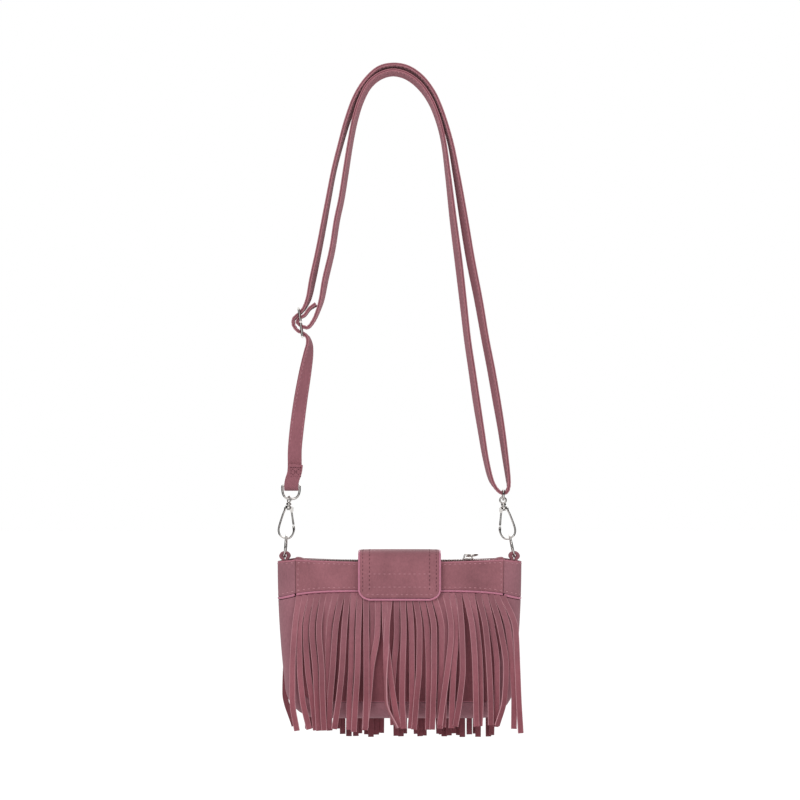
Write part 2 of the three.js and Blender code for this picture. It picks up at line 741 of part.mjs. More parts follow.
function zipTeeth(side) {
  const count = Math.floor(2 * ZIP_HALF_LENGTH / ZIP_TOOTH_PITCH);
  const start = -ZIP_HALF_LENGTH;
  const outline = new THREE.Shape();
  outline.moveTo(start, ZIP_SPINE + ZIP_SPINE_WIDTH);
  outline.lineTo(start, ZIP_SPINE);
  for (let i = 0; i < count; i += 1) {
    const x = start + (i + (side > 0 ? 0.5 : 0.1)) * ZIP_TOOTH_PITCH;
    outline.lineTo(x, ZIP_SPINE);
    outline.lineTo(x, ZIP_TOOTH_TIP);
    outline.lineTo(x + ZIP_TOOTH_PITCH * 0.4, ZIP_TOOTH_TIP);
    outline.lineTo(x + ZIP_TOOTH_PITCH * 0.4, ZIP_SPINE);
  }
  outline.lineTo(ZIP_HALF_LENGTH, ZIP_SPINE);
  outline.lineTo(ZIP_HALF_LENGTH, ZIP_SPINE + ZIP_SPINE_WIDTH);
  const comb = new THREE.ExtrudeGeometry(outline, { depth: ZIP_CHAIN_THICKNESS, bevelEnabled: false });
  if (side < 0) {
    comb.rotateX(Math.PI);
    comb.translate(0, 0, ZIP_CHAIN_THICKNESS);
  }
  comb.translate(0, 0, chainBottom());
  return comb;
}

function chainTop() {
  return chainBottom() + ZIP_CHAIN_THICKNESS;
}

function box(x, y, z, width, depth, height) {
  return new THREE.BoxGeometry(width, depth, height).translate(x, y, z);
}

function bailHole() {
  return { x: SLIDER_X, z: chainTop() + SEAM_GAP + SLIDER.plate + (BAIL.height - BAIL.wall) / 2 };
}

function zipSlider() {
  const { length, width, plate, post, postLength } = SLIDER;
  const x = SLIDER_X;
  const topZ = chainTop() + SEAM_GAP + plate / 2;
  const lowZ = ZIP_TAPE_TOP - ZIP_TAPE_THICKNESS - SEAM_GAP - plate / 2;
  const upper = box(x, 0, topZ, length, width, plate);
  const lower = box(x, 0, lowZ, length, width, plate);
  const middle = box(x, 0, (topZ + lowZ) / 2, postLength, post, topZ - lowZ);
  const bridge = new THREE.Shape();
  const rise = BAIL.height;
  bridge.moveTo(-BAIL.span / 2, -plate / 2);
  bridge.lineTo(BAIL.span / 2, -plate / 2);
  bridge.lineTo(BAIL.span / 2, rise * 0.5);
  bridge.lineTo(BAIL.span / 2 - BAIL.wall, rise);
  bridge.lineTo(-BAIL.span / 2 + BAIL.wall, rise);
  bridge.lineTo(-BAIL.span / 2, rise * 0.5);
  const bail = new THREE.ExtrudeGeometry(bridge, { depth: BAIL.width, bevelEnabled: false });
  bail.rotateX(Math.PI / 2).translate(x, BAIL.width / 2, topZ + plate / 2);
  const hole = bailHole();
  const window = box(x, 0, hole.z, BAIL.span - 2 * BAIL.wall, 2 * BAIL.width, BAIL.height - BAIL.wall);
  return cut(join([upper, lower, middle, bail]), [window]);
}

// The ring pull is threaded through the bail askew, and leans up towards the front.
function zipPull() {
  const hole = bailHole();
  const ring = new THREE.TorusGeometry(PULL.radius, PULL.wire, 6, 16);
  ring.rotateZ(Math.PI / 2).translate(0, -PULL.radius, 0);
  ring.rotateX(radians(-PULL.lean)).rotateZ(radians(PULL.turn));
  return ring.translate(hole.x, 0, hole.z);
}

function zipEndTab(side) {
  const { length, height, width } = END_TAB;
  const profile = new THREE.Shape();
  profile.moveTo(0, 0);
  profile.lineTo(length, 0);
  profile.quadraticCurveTo(length, height, length * 0.72, height);
  profile.quadraticCurveTo(length * 0.3, height * 0.7, 0, height * 0.3);
  const pad = new THREE.ExtrudeGeometry(profile, { depth: width, bevelEnabled: false, curveSegments: 4 });
  pad.rotateX(Math.PI / 2).translate(0, width / 2, 0);
  if (side < 0) {
    pad.rotateZ(Math.PI);
  }
  const x = side * (ZIP_HALF_LENGTH + SEAM_GAP);
  return pad.translate(x, 0, chainBottom());
}

// Side tab: a strip folded over the ring, its two ends sewn down inside the bag.
function sideTab() {
  const { width, height, halfSpread, thickness, root } = SIDE_TAB;
  const leg = (thickness + SEAM_GAP) / 2;
  const top = height - thickness / 2;
  const right = [
    [leg, 0, -root],
    [leg, 0, -root / 2],
    [leg + SIDE_TAB_LEG_FLARE, 0, 0.4],
    [halfSpread - 0.3, 0, 3],
    [halfSpread, 0, 5],
    [halfSpread * 0.66, 0, top - 0.7],
  ];
  const left = right.map(([x, y, z]) => [-x, y, z]).reverse();
  const curve = smoothCurve([...right, [0, 0, top], ...left]);
  const rings = spread(0, 1, 20).map((u) => {
    const p = curve.getPointAt(u);
    const t = curve.getTangentAt(u);
    const across = new THREE.Vector3(t.z, 0, -t.x).multiplyScalar(thickness / 2);
    const wide = new THREE.Vector3(0, width / 2, 0);
    return [
      p.clone().add(across).sub(wide),
      p.clone().add(across).add(wide),
      p.clone().sub(across).add(wide),
      p.clone().sub(across).sub(wide),
    ];
  });
  return loft(rings);
}

// A ring that stands across the bag, threaded through its side tab; it leans about its low point.
function bagRing(lean) {
  const ring = new THREE.TorusGeometry(BAG_RING.radius, BAG_RING.wire, 6, 20);
  ring.rotateY(Math.PI / 2).translate(0, 0, BAG_RING.radius);
  return ring.rotateY(radians(lean)).translate(0, 0, BAG_RING.low);
}

// Snap hook, in its own frame: x across, z up, origin in the middle of the swivel eye.
function cylinder(radius, top, bottom, sides = 10) {
  const height = top - bottom;
  const round = new THREE.CylinderGeometry(radius, radius, height, sides);
  return round.rotateX(Math.PI / 2).translate(0, 0, (top + bottom) / 2);
}

function collarTop() {
  return -(BARREL.bottom + SEAM_GAP);
}

function swivelEye(turn) {
  const loop = new THREE.TorusGeometry(EYE.radius, EYE.wire, 6, 12);
  loop.rotateX(Math.PI / 2).rotateZ(radians(turn));
  const barrel = cylinder(BARREL.radius, -BARREL.top, -BARREL.bottom);
  const pinEnd = collarTop() - COLLAR.height - SEAM_GAP;
  const pin = cylinder(SWIVEL_PIN.radius, -BARREL.bottom + 0.5, pinEnd - 0.5, 8);
  const head = cylinder(SWIVEL_PIN.headRadius, pinEnd, pinEnd - SWIVEL_PIN.headHeight, 8);
  return join([loop, barrel, pin, head]);
}

// side 1 has the gate on the right, side -1 on the left.
function hookBody(side) {
  const top = collarTop();
  const low = top - COLLAR.height;
  const start = COLLAR.radius - HOOK_WIRE + 0.5;
  const spine = smoothCurve([
    [-start * side, 0, low + 1],
    [-(start + 0.3) * side, 0, low - 1],
    [-4.3 * side, 0, -13],
    [-5.6 * side, 0, -18],
    [-6.8 * side, 0, -23.5],
    [-7.0 * side, 0, -27.5],
    [-5.6 * side, 0, -31],
    [-3.0 * side, 0, -HOOK_BOTTOM + 0.8],
    [0, 0, -HOOK_BOTTOM],
    [3.0 * side, 0, -HOOK_BOTTOM + 0.9],
    [5.2 * side, 0, -29.8],
    [6.0 * side, 0, -26],
    [GATE.tipU * side, 0, -GATE.tipW - SEAM_GAP],
  ]);
  const wire = bar(spine, HOOK_WIRE, 26, 6);
  const collar = cylinder(COLLAR.radius, top, low, 12);
  const slot = GATE.thickness / 2 + SEAM_GAP;
  const cheekTop = low + 1;
  const cheekLow = -GATE.pivotW - GATE.eye;
  const cheek = (y) => box(
    GATE.pivotU * side,
    y * (slot + CHEEK / 2),
    (cheekTop + cheekLow) / 2,
    2 * GATE.eye,
    CHEEK,
    cheekTop - cheekLow,
  );
  const bore = cylinder(COLLAR.bore, top + 1, low - 1, 8);
  const pinHole = new THREE.CylinderGeometry(GATE_PIN_RADIUS + PIN_PLAY, GATE_PIN_RADIUS + PIN_PLAY, 8, 8);
  pinHole.translate(GATE.pivotU * side, 0, -GATE.pivotW);
  return cut(join([wire, collar, cheek(1), cheek(-1)]), [bore, pinHole]);
}

function hookGate(side) {
  const from = new THREE.Vector3(GATE.pivotU * side, 0, -GATE.pivotW);
  const to = new THREE.Vector3(GATE.tipU * side, 0, -GATE.tipW);
  const along = to.clone().sub(from).normalize();
  const stem = bar(new THREE.LineCurve3(from.clone().addScaledVector(along, 0.9), to), GATE.wire, 1, 8);
  const eye = new THREE.CylinderGeometry(GATE.eye - 0.2, GATE.eye - 0.2, GATE.thickness, 10);
  eye.translate(from.x, from.y, from.z);
  const hole = new THREE.CylinderGeometry(GATE_PIN_RADIUS + PIN_PLAY, GATE_PIN_RADIUS + PIN_PLAY, 8, 8);
  hole.translate(from.x, from.y, from.z);
  return cut(join([stem, eye]), [hole]);
}

function gatePin(side) {
  const length = GATE.thickness + 2 * SEAM_GAP + 2 * CHEEK;
  const pin = new THREE.CylinderGeometry(GATE_PIN_RADIUS, GATE_PIN_RADIUS, length, 8);
  return pin.translate(GATE.pivotU * side, 0, -GATE.pivotW);
}

// Strap rings: a straight bar in the strap's fold and a rounded lower side. It hangs from z = 0.
function strapRing(width, height) {
  const half = width / 2;
  const corner = 1.6;
  const arch = height - corner;
  const outline = new THREE.Path();
  outline.moveTo(-half + corner, 0);
  outline.lineTo(half - corner, 0);
  outline.quadraticCurveTo(half, 0, half, -corner);
  outline.bezierCurveTo(half, -arch, half * 0.55, -height, 0, -height);
  outline.bezierCurveTo(-half * 0.55, -height, -half, -arch, -half, -corner);
  outline.quadraticCurveTo(-half, 0, -half + corner, 0);
  const loop = outline.getSpacedPoints(24).slice(0, -1).map((p) => new THREE.Vector3(p.x, 0, p.y));
  const curve = new THREE.CatmullRomCurve3(loop, true, 'centripetal');
  return new THREE.TubeGeometry(curve, 22, RING_WIRE, 6, true);
}

// Slide buckle: a frame of wire with three bars across the strap.
function slideBuckle() {
  const { wire, width, lowBar, midBar, topBar } = SLIDE;
  const half = width / 2;
  const rod = (y0, [x0, z0], y1, [x1, z1]) => {
    const from = new THREE.Vector3(x0, y0, z0);
    const to = new THREE.Vector3(x1, y1, z1);
    return bar(new THREE.LineCurve3(from, to), wire, 1, 6);
  };
  const bars = [lowBar, midBar, topBar].map((at) => rod(-half - wire, at, half + wire, at));
  const sides = [-half, half].map((y) => rod(y, lowBar, y, topBar));
  return join([...bars, ...sides]);
}

// Strap: a flat band swept along its route.
function strapSection(point, tangent, turn) {
  const inward = new THREE.Vector3(LOOP_CENTRE.x - point.x, 0, Math.min(LOOP_CENTRE.z - point.z, 0));
  inward.addScaledVector(tangent, -inward.dot(tangent)).normalize();
  const wide = new THREE.Vector3(0, Math.cos(turn), 0).addScaledVector(inward, Math.sin(turn));
  wide.addScaledVector(tangent, -wide.dot(tangent)).normalize().multiplyScalar(STRAP_WIDTH / 2);
  const thick = new THREE.Vector3().crossVectors(wide, tangent).normalize();
  thick.multiplyScalar(STRAP_THICKNESS / 2);
  return [
    point.clone().add(wide).add(thick),
    point.clone().sub(wide).add(thick),
    point.clone().sub(wide).sub(thick),
    point.clone().add(wide).sub(thick),
  ];
}

function strap() {
  const curve = new THREE.CatmullRomCurve3(
    STRAP_ROUTE.map(([x, y, z]) => new THREE.Vector3(x, y, z)),
    false,
    'centripetal',
  );
  const spans = STRAP_ROUTE.length - 1;
  const straight = (i) => curve.getTangent(i / spans).angleTo(curve.getTangent((i + 1) / spans)) < radians(14);
  const stations = spread(0, spans, 2 * spans).filter((k) => Number.isInteger(k) || !straight(Math.floor(k)));
  const rings = stations.map((k) => {
    const i = Math.min(Math.floor(k), spans - 1);
    const turn = lerp(STRAP_ROUTE[i][3], STRAP_ROUTE[i + 1][3], k - i);
    return strapSection(curve.getPoint(k / spans), curve.getTangent(k / spans), radians(turn));
  });
  return loft(rings);
}

// Assembly
const bag = new THREE.Group();
bag.position.set(BAG_SHIFT_X, 0, -STRAP_DROP);
bag.add(
  part('front_panel', facePanel(-1), cloth(suede)),
  part('back_panel', facePanel(1), cloth(suede)),
  part('gusset_strip', gussetStrip(), cloth(gussetSuede)),
  part('lining', lining(), cloth(new THREE.Color(0x5c2f3a), 0.8)),
  part('front_yoke', faceYoke(-1), cloth(suede)),
  part('back_yoke', faceYoke(1), cloth(suede)),
  part('left_side_yoke', sideYoke(-1), cloth(gussetSuede)),
  part('right_side_yoke', sideYoke(1), cloth(gussetSuede)),
  part('front_piping', facePiping(-1), cloth(pipingPink, 0.7)),
  part('back_piping', facePiping(1), cloth(pipingPink, 0.7)),
  part('left_side_piping', sidePiping(-1), cloth(pipingPink, 0.7)),
  part('right_side_piping', sidePiping(1), cloth(pipingPink, 0.7)),
  part('front_fringe', fringe(-1, FRONT_FRINGE_END), cloth(suede)),
  part('back_fringe', fringe(1, BACK_FRINGE_END), cloth(fringeRed)),
  part('closing_tab', closingTab(), cloth(suede)),
  part('closing_tab_piping', tabPiping(), cloth(pipingPink, 0.7)),
  part('closing_tab_hook_tape', hookTape(), cloth(new THREE.Color(0x4a2730))),
  part('yoke_loop_tape', loopTape(), cloth(new THREE.Color(0x4a2730))),
  part('zip_tape_front', zipTape(-1), cloth(new THREE.Color(0x7a4450))),
  part('zip_tape_back', zipTape(1), cloth(new THREE.Color(0x7a4450))),
  part('zip_teeth_front', zipTeeth(-1), metal()),
  part('zip_teeth_back', zipTeeth(1), metal()),
  part('zip_slider', zipSlider(), metal()),
  part('zip_pull', zipPull(), metal()),
  part('zip_end_tab_left', zipEndTab(-1), cloth(suede)),
  part('zip_end_tab_right', zipEndTab(1), cloth(suede)),
);

for (const [label, side, lean] of [['left', -1, LEFT_RING_LEAN], ['right', 1, RIGHT_RING_LEAN]]) {
  const at = new THREE.Group();
  at.position.set(side * SIDE_TAB.x, 0, 0);
  at.add(
    part(`${label}_side_tab`, sideTab(), cloth(suede)),
    part(`${label}_bag_ring`, bagRing(lean), metal()),
  );
  bag.add(at);
}

// Where the middle of a swivel eye lies, so that the hook's bottom bend holds the top of the bag ring.
function eyePlace(side, tilt, lean, offset) {
  const ringTop = 2 * BAG_RING.radius;
  const heldX = BAG_SHIFT_X + side * SIDE_TAB.x + ringTop * Math.sin(radians(lean)) - offset;
  const heldZ = BAG_RING.low - STRAP_DROP + ringTop * Math.cos(radians(lean));
  const reach = HOOK_BOTTOM - BAG_RING.wire - HOOK_WIRE - HOOK_LINK_CLEARANCE;
  const x = heldX - reach * Math.sin(radians(tilt));
  return new THREE.Vector3(x, 0, heldZ + reach * Math.cos(radians(tilt)));
}

function snapHook(label, gateSide, place, tilt, eyeTurn) {
  const hook = new THREE.Group();
  hook.position.copy(place);
  hook.rotation.y = radians(-tilt);
  hook.add(
    part(`${label}_swivel_eye`, swivelEye(eyeTurn), metal()),
    part(`${label}_hook_body`, hookBody(gateSide), metal()),
    part(`${label}_hook_gate`, hookGate(gateSide), metal()),
    part(`${label}_gate_pin`, gatePin(gateSide), metal()),
  );
  return hook;
}

// A strap ring reaches from its bar in the strap down to the eye that hangs on it.
function hungRing(label, { width, barX, barZ }, eye, turn) {
  const seat = EYE.radius - EYE.wire - RING_WIRE - SEAM_GAP;
  const ring = part(`${label}_strap_ring`, strapRing(width, barZ - eye.z - seat), metal());
  ring.rotation.z = turn;
  ring.position.set(barX, 0, barZ);
  return ring;
}

const leftEye = eyePlace(-1, LEFT_HOOK_TILT, LEFT_RING_LEAN, 0);
const rightEye = eyePlace(1, RIGHT_HOOK_TILT, RIGHT_RING_LEAN, RIGHT_HOOK_OFFSET);

const object = new THREE.Group();
object.add(
  bag,
  snapHook('left', 1, leftEye, LEFT_HOOK_TILT, LEFT_EYE_TURN),
  snapHook('right', -1, rightEye, RIGHT_HOOK_TILT, 0),
  hungRing('left', LEFT_STRAP_RING, leftEye, 0),
  hungRing('right', RIGHT_STRAP_RING, rightEye, Math.PI / 2),
  part('strap_slide', slideBuckle(), metal()),
  part('strap', strap(), cloth(suede)),
);

export default object;
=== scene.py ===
# %% [markdown]
# # A fringed suede bag on its strap
# The bag is a soft zipped pouch with a band round its top, a curtain of suede strips on
# each face and a tab that closes over the zip. It hangs from a doubled strap with two
# snap hooks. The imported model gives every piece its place. This script gives the pieces
# their nap, their piping, their stitches and the way the strips swing.

# %% Start
import json
import math
import bpy
import numpy as np
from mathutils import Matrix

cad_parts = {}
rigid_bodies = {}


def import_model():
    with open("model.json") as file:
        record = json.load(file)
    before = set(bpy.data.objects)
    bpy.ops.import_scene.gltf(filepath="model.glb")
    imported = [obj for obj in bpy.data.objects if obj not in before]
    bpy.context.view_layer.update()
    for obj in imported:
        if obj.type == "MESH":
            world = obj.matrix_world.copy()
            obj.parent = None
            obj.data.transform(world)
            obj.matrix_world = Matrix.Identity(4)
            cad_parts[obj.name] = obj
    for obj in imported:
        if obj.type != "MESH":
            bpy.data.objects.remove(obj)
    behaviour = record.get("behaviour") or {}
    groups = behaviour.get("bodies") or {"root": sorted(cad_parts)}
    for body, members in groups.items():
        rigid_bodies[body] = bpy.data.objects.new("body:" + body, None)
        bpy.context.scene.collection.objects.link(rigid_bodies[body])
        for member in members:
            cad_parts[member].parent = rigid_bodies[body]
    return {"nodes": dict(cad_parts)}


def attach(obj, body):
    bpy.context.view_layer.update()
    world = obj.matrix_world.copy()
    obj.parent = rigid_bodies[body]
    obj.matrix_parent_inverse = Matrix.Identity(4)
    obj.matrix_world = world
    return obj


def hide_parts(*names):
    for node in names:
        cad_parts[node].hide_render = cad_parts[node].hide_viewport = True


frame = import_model()


def save_size():
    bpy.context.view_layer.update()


save_size()
MM = 0.001
ROOT = "bag_and_strap"
BAG = np.array([5.6, 0.0, -419.0])

# %% [markdown]
# ## The form of the pouch
# Both faces bulge a little and the pouch is thicker at its base than at the zip, as a
# lined bag with something in it is. One formula gives the face and another the side, so
# the band, the panels, the fringe and every seam lie on the same surface. They are the
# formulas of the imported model, in millimetres, with the depth t measured down from the
# top edge of the bag. Only at the lower corners does the panel here keep closer to the
# gusset's curve, so that its seam is as fine there as along the sides.

# %% Surface of the bag
HALF_WIDTH, HEIGHT, CORNER, BAND = 89.0, 119.0, 14.0, 22.9
LOW_CORNER = HEIGHT - CORNER
NARROWING = 8.0
TOP_HALF_DEPTH, BASE_HALF_DEPTH, FULL_DEPTH_AT = 11.5, 18.0, 70
BULGE, BULGE_AT_TOP = 5.0, 0.4
TOP_RISE = 2.2
GUSSET_BULGE = 15.5
CORNER_FALL, SIDE_FALL = 3.3, 3.8
GAP, LEATHER, PIPE, PIPE_SKIN = 0.35, 2.0, 1.25, 1.12


def smooth(f):
    c = min(max(f, 0.0), 1.0)
    return c * c * (3 - 2 * c)


def seam_x(t):
    side = HALF_WIDTH - NARROWING * (min(t, LOW_CORNER) / HEIGHT) ** 2
    into = t - LOW_CORNER
    return side if into <= 0 else side - CORNER + math.sqrt(max(CORNER**2 - into**2, 0))


def half_depth(t):
    return TOP_HALF_DEPTH + (BASE_HALF_DEPTH - TOP_HALF_DEPTH) * smooth(t / FULL_DEPTH_AT)


def face_y(x, t):
    full = BULGE_AT_TOP + (1 - BULGE_AT_TOP) * min(t / (HEIGHT / 2), 1)
    across = max(1 - (x / seam_x(t)) ** 2, 0)
    return half_depth(t) + BULGE * full * (1 - (t / HEIGHT) ** 4) * across


def top_lift(x, t):
    return TOP_RISE * max(1 - t / BAND, 0) * min((x / HALF_WIDTH) ** 2, 1)


def face_point(side, x, t, out=0.0):
    return np.array([x, side * (face_y(x, t) + out), top_lift(x, t) - t])


def side_point(side, t, angle, inset=0.0):
    a = math.radians(angle)
    x = seam_x(t) + GAP + (GUSSET_BULGE - inset) * math.cos(a)
    lift = top_lift(HALF_WIDTH, t) * (1 - math.cos(a))
    return np.array([side * x, (half_depth(t) - inset) * math.sin(a), lift - t])


print("thickness at the zip:", round(2 * face_y(0, 0)), "mm")
print("thickness half way down:", round(2 * face_y(0, HEIGHT / 2)), "mm")


# %% Seams of the bag
def corner_drop(x):
    """How much lower the seam is near the bag's corners."""
    return CORNER_FALL * min(abs(x) / HALF_WIDTH, 1) ** 5


def side_drop(angle):
    """The same on the side, where the seam runs lower still."""
    return CORNER_FALL + SIDE_FALL * math.cos(math.radians(angle))


def seam_depth(drop=0.0):
    return BAND + GAP + PIPE + drop


def panel_top(drop=0.0):
    return seam_depth(drop) + PIPE + GAP


print("panel starts", round(panel_top(), 2), "mm down, face is", round(face_y(0, 60), 1), "mm out")

# %% [markdown]
# ## Meshes
# Most pieces are sheets with two faces or bars swept along a line. These helpers build
# them from rows of points, so each one is closed and its faces look outward.

# %% Mesh helpers
def make(name, points, faces, materials, index=None, sharp=40, tone=None, shift=BAG):
    """A mesh object from points in millimetres."""
    mesh = bpy.data.meshes.new(name)
    at = (np.asarray(points, float) + shift) * MM
    mesh.from_pydata(at.tolist(), [], [list(f) for f in faces])
    for material in materials:
        mesh.materials.append(material)
    if index is not None:
        mesh.polygons.foreach_set("material_index", index)
    if tone is not None:
        mesh.attributes.new("tone", "FLOAT", "POINT").data.foreach_set("value", tone)
    mesh.update()
    mesh.shade_smooth()
    mesh.set_sharp_from_angle(angle=math.radians(sharp))
    obj = bpy.data.objects.new(name, mesh)
    bpy.context.scene.collection.objects.link(obj)
    return obj


def volume(points, faces):
    """Six times the signed volume, for telling whether faces look outward."""
    total = 0.0
    for face in faces:
        a = points[face[0]]
        for b, c in zip(face[1:-1], face[2:]):
            total += np.dot(a, np.cross(points[b], points[c]))
    return total


def outward(points, faces):
    points = np.asarray(points, float)
    middle = points.mean(axis=0)
    return faces if volume(points - middle, faces) > 0 else [f[::-1] for f in faces]


# %% Sheets
def shell_parts(outer, inner):
    """Points and faces of a sheet whose two faces are grids of the same size."""
    outer, inner = np.asarray(outer), np.asarray(inner)
    rows, cols = outer.shape[:2]
    points = np.concatenate([outer.reshape(-1, 3), inner.reshape(-1, 3)])
    n = rows * cols
    faces = []
    for i in range(rows - 1):
        for j in range(cols - 1):
            a = i * cols + j
            faces.append((a, a + 1, a + cols + 1, a + cols))
            faces.append((n + a, n + a + cols, n + a + cols + 1, n + a + 1))
    for j in range(cols - 1):
        a, b = j, (rows - 1) * cols + j
        faces.append((a + 1, a, n + a, n + a + 1))
        faces.append((b, b + 1, n + b + 1, n + b))
    for i in range(rows - 1):
        a, b = i * cols, i * cols + cols - 1
        faces.append((a, a + cols, n + a + cols, n + a))
        faces.append((b + cols, b, n + b, n + b + cols))
    return points, outward(points, faces)


def shell(name, outer, inner, materials, **extra):
    points, faces = shell_parts(outer, inner)
    return make(name, points, faces, materials, **extra)


patch = np.array([[[x, 0, z] for x in (0, 1)] for z in (0, 1)])
print("a sheet of 2 x 2 points has", len(shell_parts(patch, patch + (0, 1, 0))[1]), "faces")


# %% Swept bars
def swept_parts(rings, closed=False):
    """Points and faces of a bar through rings of points; flat ends unless it is closed."""
    rings = np.asarray(rings)
    count, around = rings.shape[:2]
    points = rings.reshape(-1, 3)
    faces = []
    for i in range(count if closed else count - 1):
        for j in range(around):
            a, b = i * around + j, i * around + (j + 1) % around
            c, d = ((i + 1) % count) * around + (j + 1) % around, ((i + 1) % count) * around + j
            faces.append((a, b, c, d))
    if not closed:
        faces.append(tuple(range(around - 1, -1, -1)))
        faces.append(tuple(range((count - 1) * around, count * around)))
    return points, outward(points, faces)


square_bar = [[[x, y, z] for x, y in ((0, 0), (1, 0), (1, 1), (0, 1))] for z in (0, 1)]
print("a square bar has", len(swept_parts(square_bar)[1]), "faces")


# %% Paths and round bars
def line_frames(path, closed=False, up=(0, 1, 0)):
    """Tangent, side and normal at each point of a path, without twist about it."""
    path = np.asarray(path, float)
    if closed:
        tangent = np.roll(path, -1, axis=0) - np.roll(path, 1, axis=0)
    else:
        tangent = np.gradient(path, axis=0)
    tangent /= np.linalg.norm(tangent, axis=1)[:, None]
    side = np.cross(tangent, np.array(up, float))
    side /= np.maximum(np.linalg.norm(side, axis=1)[:, None], 1e-9)
    return tangent, side, np.cross(side, tangent)


def round_rings(path, radius, sides=14, closed=False, up=(0, 1, 0)):
    path = np.asarray(path, float)
    _, side, normal = line_frames(path, closed, up)
    radius = np.broadcast_to(np.asarray(radius, float), (len(path),))
    angle = np.linspace(0, 2 * math.pi, sides, endpoint=False)
    across = np.cos(angle)[None, :, None] * side[:, None]
    upright = np.sin(angle)[None, :, None] * normal[:, None]
    return path[:, None] + (across + upright) * radius[:, None, None]


def through(knots, count):
    """A smooth path through the knots, with count points for each span."""
    k = np.asarray(knots, float)
    slope = np.gradient(k, axis=0)
    out = []
    for i in range(len(k) - 1):
        for u in np.arange(count) / count:
            a, b = 2 * u**3 - 3 * u**2 + 1, u**3 - 2 * u**2 + u
            c, d = -2 * u**3 + 3 * u**2, u**3 - u**2
            out.append(a * k[i] + b * slope[i] + c * k[i + 1] + d * slope[i + 1])
    out.append(k[-1])
    return np.array(out)


print("three knots make a path of", len(through([[0, 0, 0], [1, 0, 0], [1, 0, 1]], 8)), "points")


# %% Joining and placing
def merged(parts):
    """Joins several (points, faces) pairs into one."""
    points, faces, start = [], [], 0
    for p, f in parts:
        points.append(np.asarray(p, float))
        faces += [tuple(n + start for n in face) for face in f]
        start += len(p)
    return np.concatenate(points), faces


def carry(obj, body=ROOT, nodes=()):
    """Puts a finished piece on its body, in place of the model's nodes."""
    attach(obj, body)
    if nodes:
        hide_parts(*nodes)
    return obj


# %% [markdown]
# ## Suede, piping and metal
# Suede is leather with its flesh side brushed up, so it is matt, and the nap lies in
# patches that look lighter or darker. Two scales of noise give the patches and the
# short fibres. Each fringe strip is also drawn a little lighter or darker: painted shade
# for the angle at which it lies. The piping is a smooth, paler skin with small gathers.

# %% Node helpers
def linear(r, g, b):
    """A colour given 0 to 255, as the linear values that a shader wants."""
    return tuple(((v / 255 + 0.055) / 1.055) ** 2.4 for v in (r, g, b)) + (1.0,)


def shader(name, roughness=0.9, metallic=0.0):
    material = bpy.data.materials.new(name)
    material.use_nodes = True
    tree = material.node_tree
    skin = tree.nodes["Principled BSDF"]
    skin.inputs["Roughness"].default_value = roughness
    skin.inputs["Metallic"].default_value = metallic
    place = tree.nodes.new("ShaderNodeTexCoord")
    return material, tree, skin, place.outputs["Object"]


def noise(tree, place, scale, detail=3.0, stretch=(1, 1, 1)):
    spread = tree.nodes.new("ShaderNodeMapping")
    spread.inputs["Scale"].default_value = stretch
    node = tree.nodes.new("ShaderNodeTexNoise")
    node.inputs["Scale"].default_value = scale
    node.inputs["Detail"].default_value = detail
    tree.links.new(place, spread.inputs["Vector"])
    tree.links.new(spread.outputs["Vector"], node.inputs["Vector"])
    return node.outputs["Fac"]


def span(tree, value, low, high, from_low=0.3, from_high=0.7):
    node = tree.nodes.new("ShaderNodeMapRange")
    for key, number in (("From Min", from_low), ("From Max", from_high), ("To Min", low), ("To Max", high)):
        node.inputs[key].default_value = number
    tree.links.new(value, node.inputs["Value"])
    return node.outputs["Result"]


def multiply(tree, a, b):
    node = tree.nodes.new("ShaderNodeMath")
    node.operation = "MULTIPLY"
    tree.links.new(a, node.inputs[0])
    tree.links.new(b, node.inputs[1])
    return node.outputs[0]


def tint(tree, color, factor, socket):
    """The colour times a changing factor, into a colour socket."""
    node = tree.nodes.new("ShaderNodeVectorMath")
    node.operation = "SCALE"
    node.inputs[0].default_value = color[:3]
    tree.links.new(factor, node.inputs["Scale"])
    tree.links.new(node.outputs["Vector"], socket)
    return node


def bump(tree, skin, height, distance, strength=0.6):
    node = tree.nodes.new("ShaderNodeBump")
    node.inputs["Strength"].default_value = strength
    node.inputs["Distance"].default_value = distance
    tree.links.new(height, node.inputs["Height"])
    tree.links.new(node.outputs["Normal"], skin.inputs["Normal"])


print("middle grey is", round(linear(128, 128, 128)[0], 3), "to a shader")


# %% Suede and its nap
def blend_down(tree, place, color, low, socket, from_z, to_z):
    """A colour that turns into another further down, in uneven patches."""
    height = tree.nodes.new("ShaderNodeSeparateXYZ")
    tree.links.new(place, height.inputs["Vector"])
    uneven = tree.nodes.new("ShaderNodeMath")
    uneven.operation = "MULTIPLY_ADD"
    uneven.inputs[1].default_value = 0.05
    tree.links.new(noise(tree, place, 18, 3.0), uneven.inputs[0])
    tree.links.new(height.outputs["Z"], uneven.inputs[2])
    mix = tree.nodes.new("ShaderNodeMix")
    mix.data_type = "RGBA"
    mix.inputs["A"].default_value = color
    mix.inputs["B"].default_value = low
    tree.links.new(span(tree, uneven.outputs[0], 0, 1, from_z + 0.025, to_z + 0.025), mix.inputs["Factor"])
    tree.links.new(mix.outputs["Result"], socket)


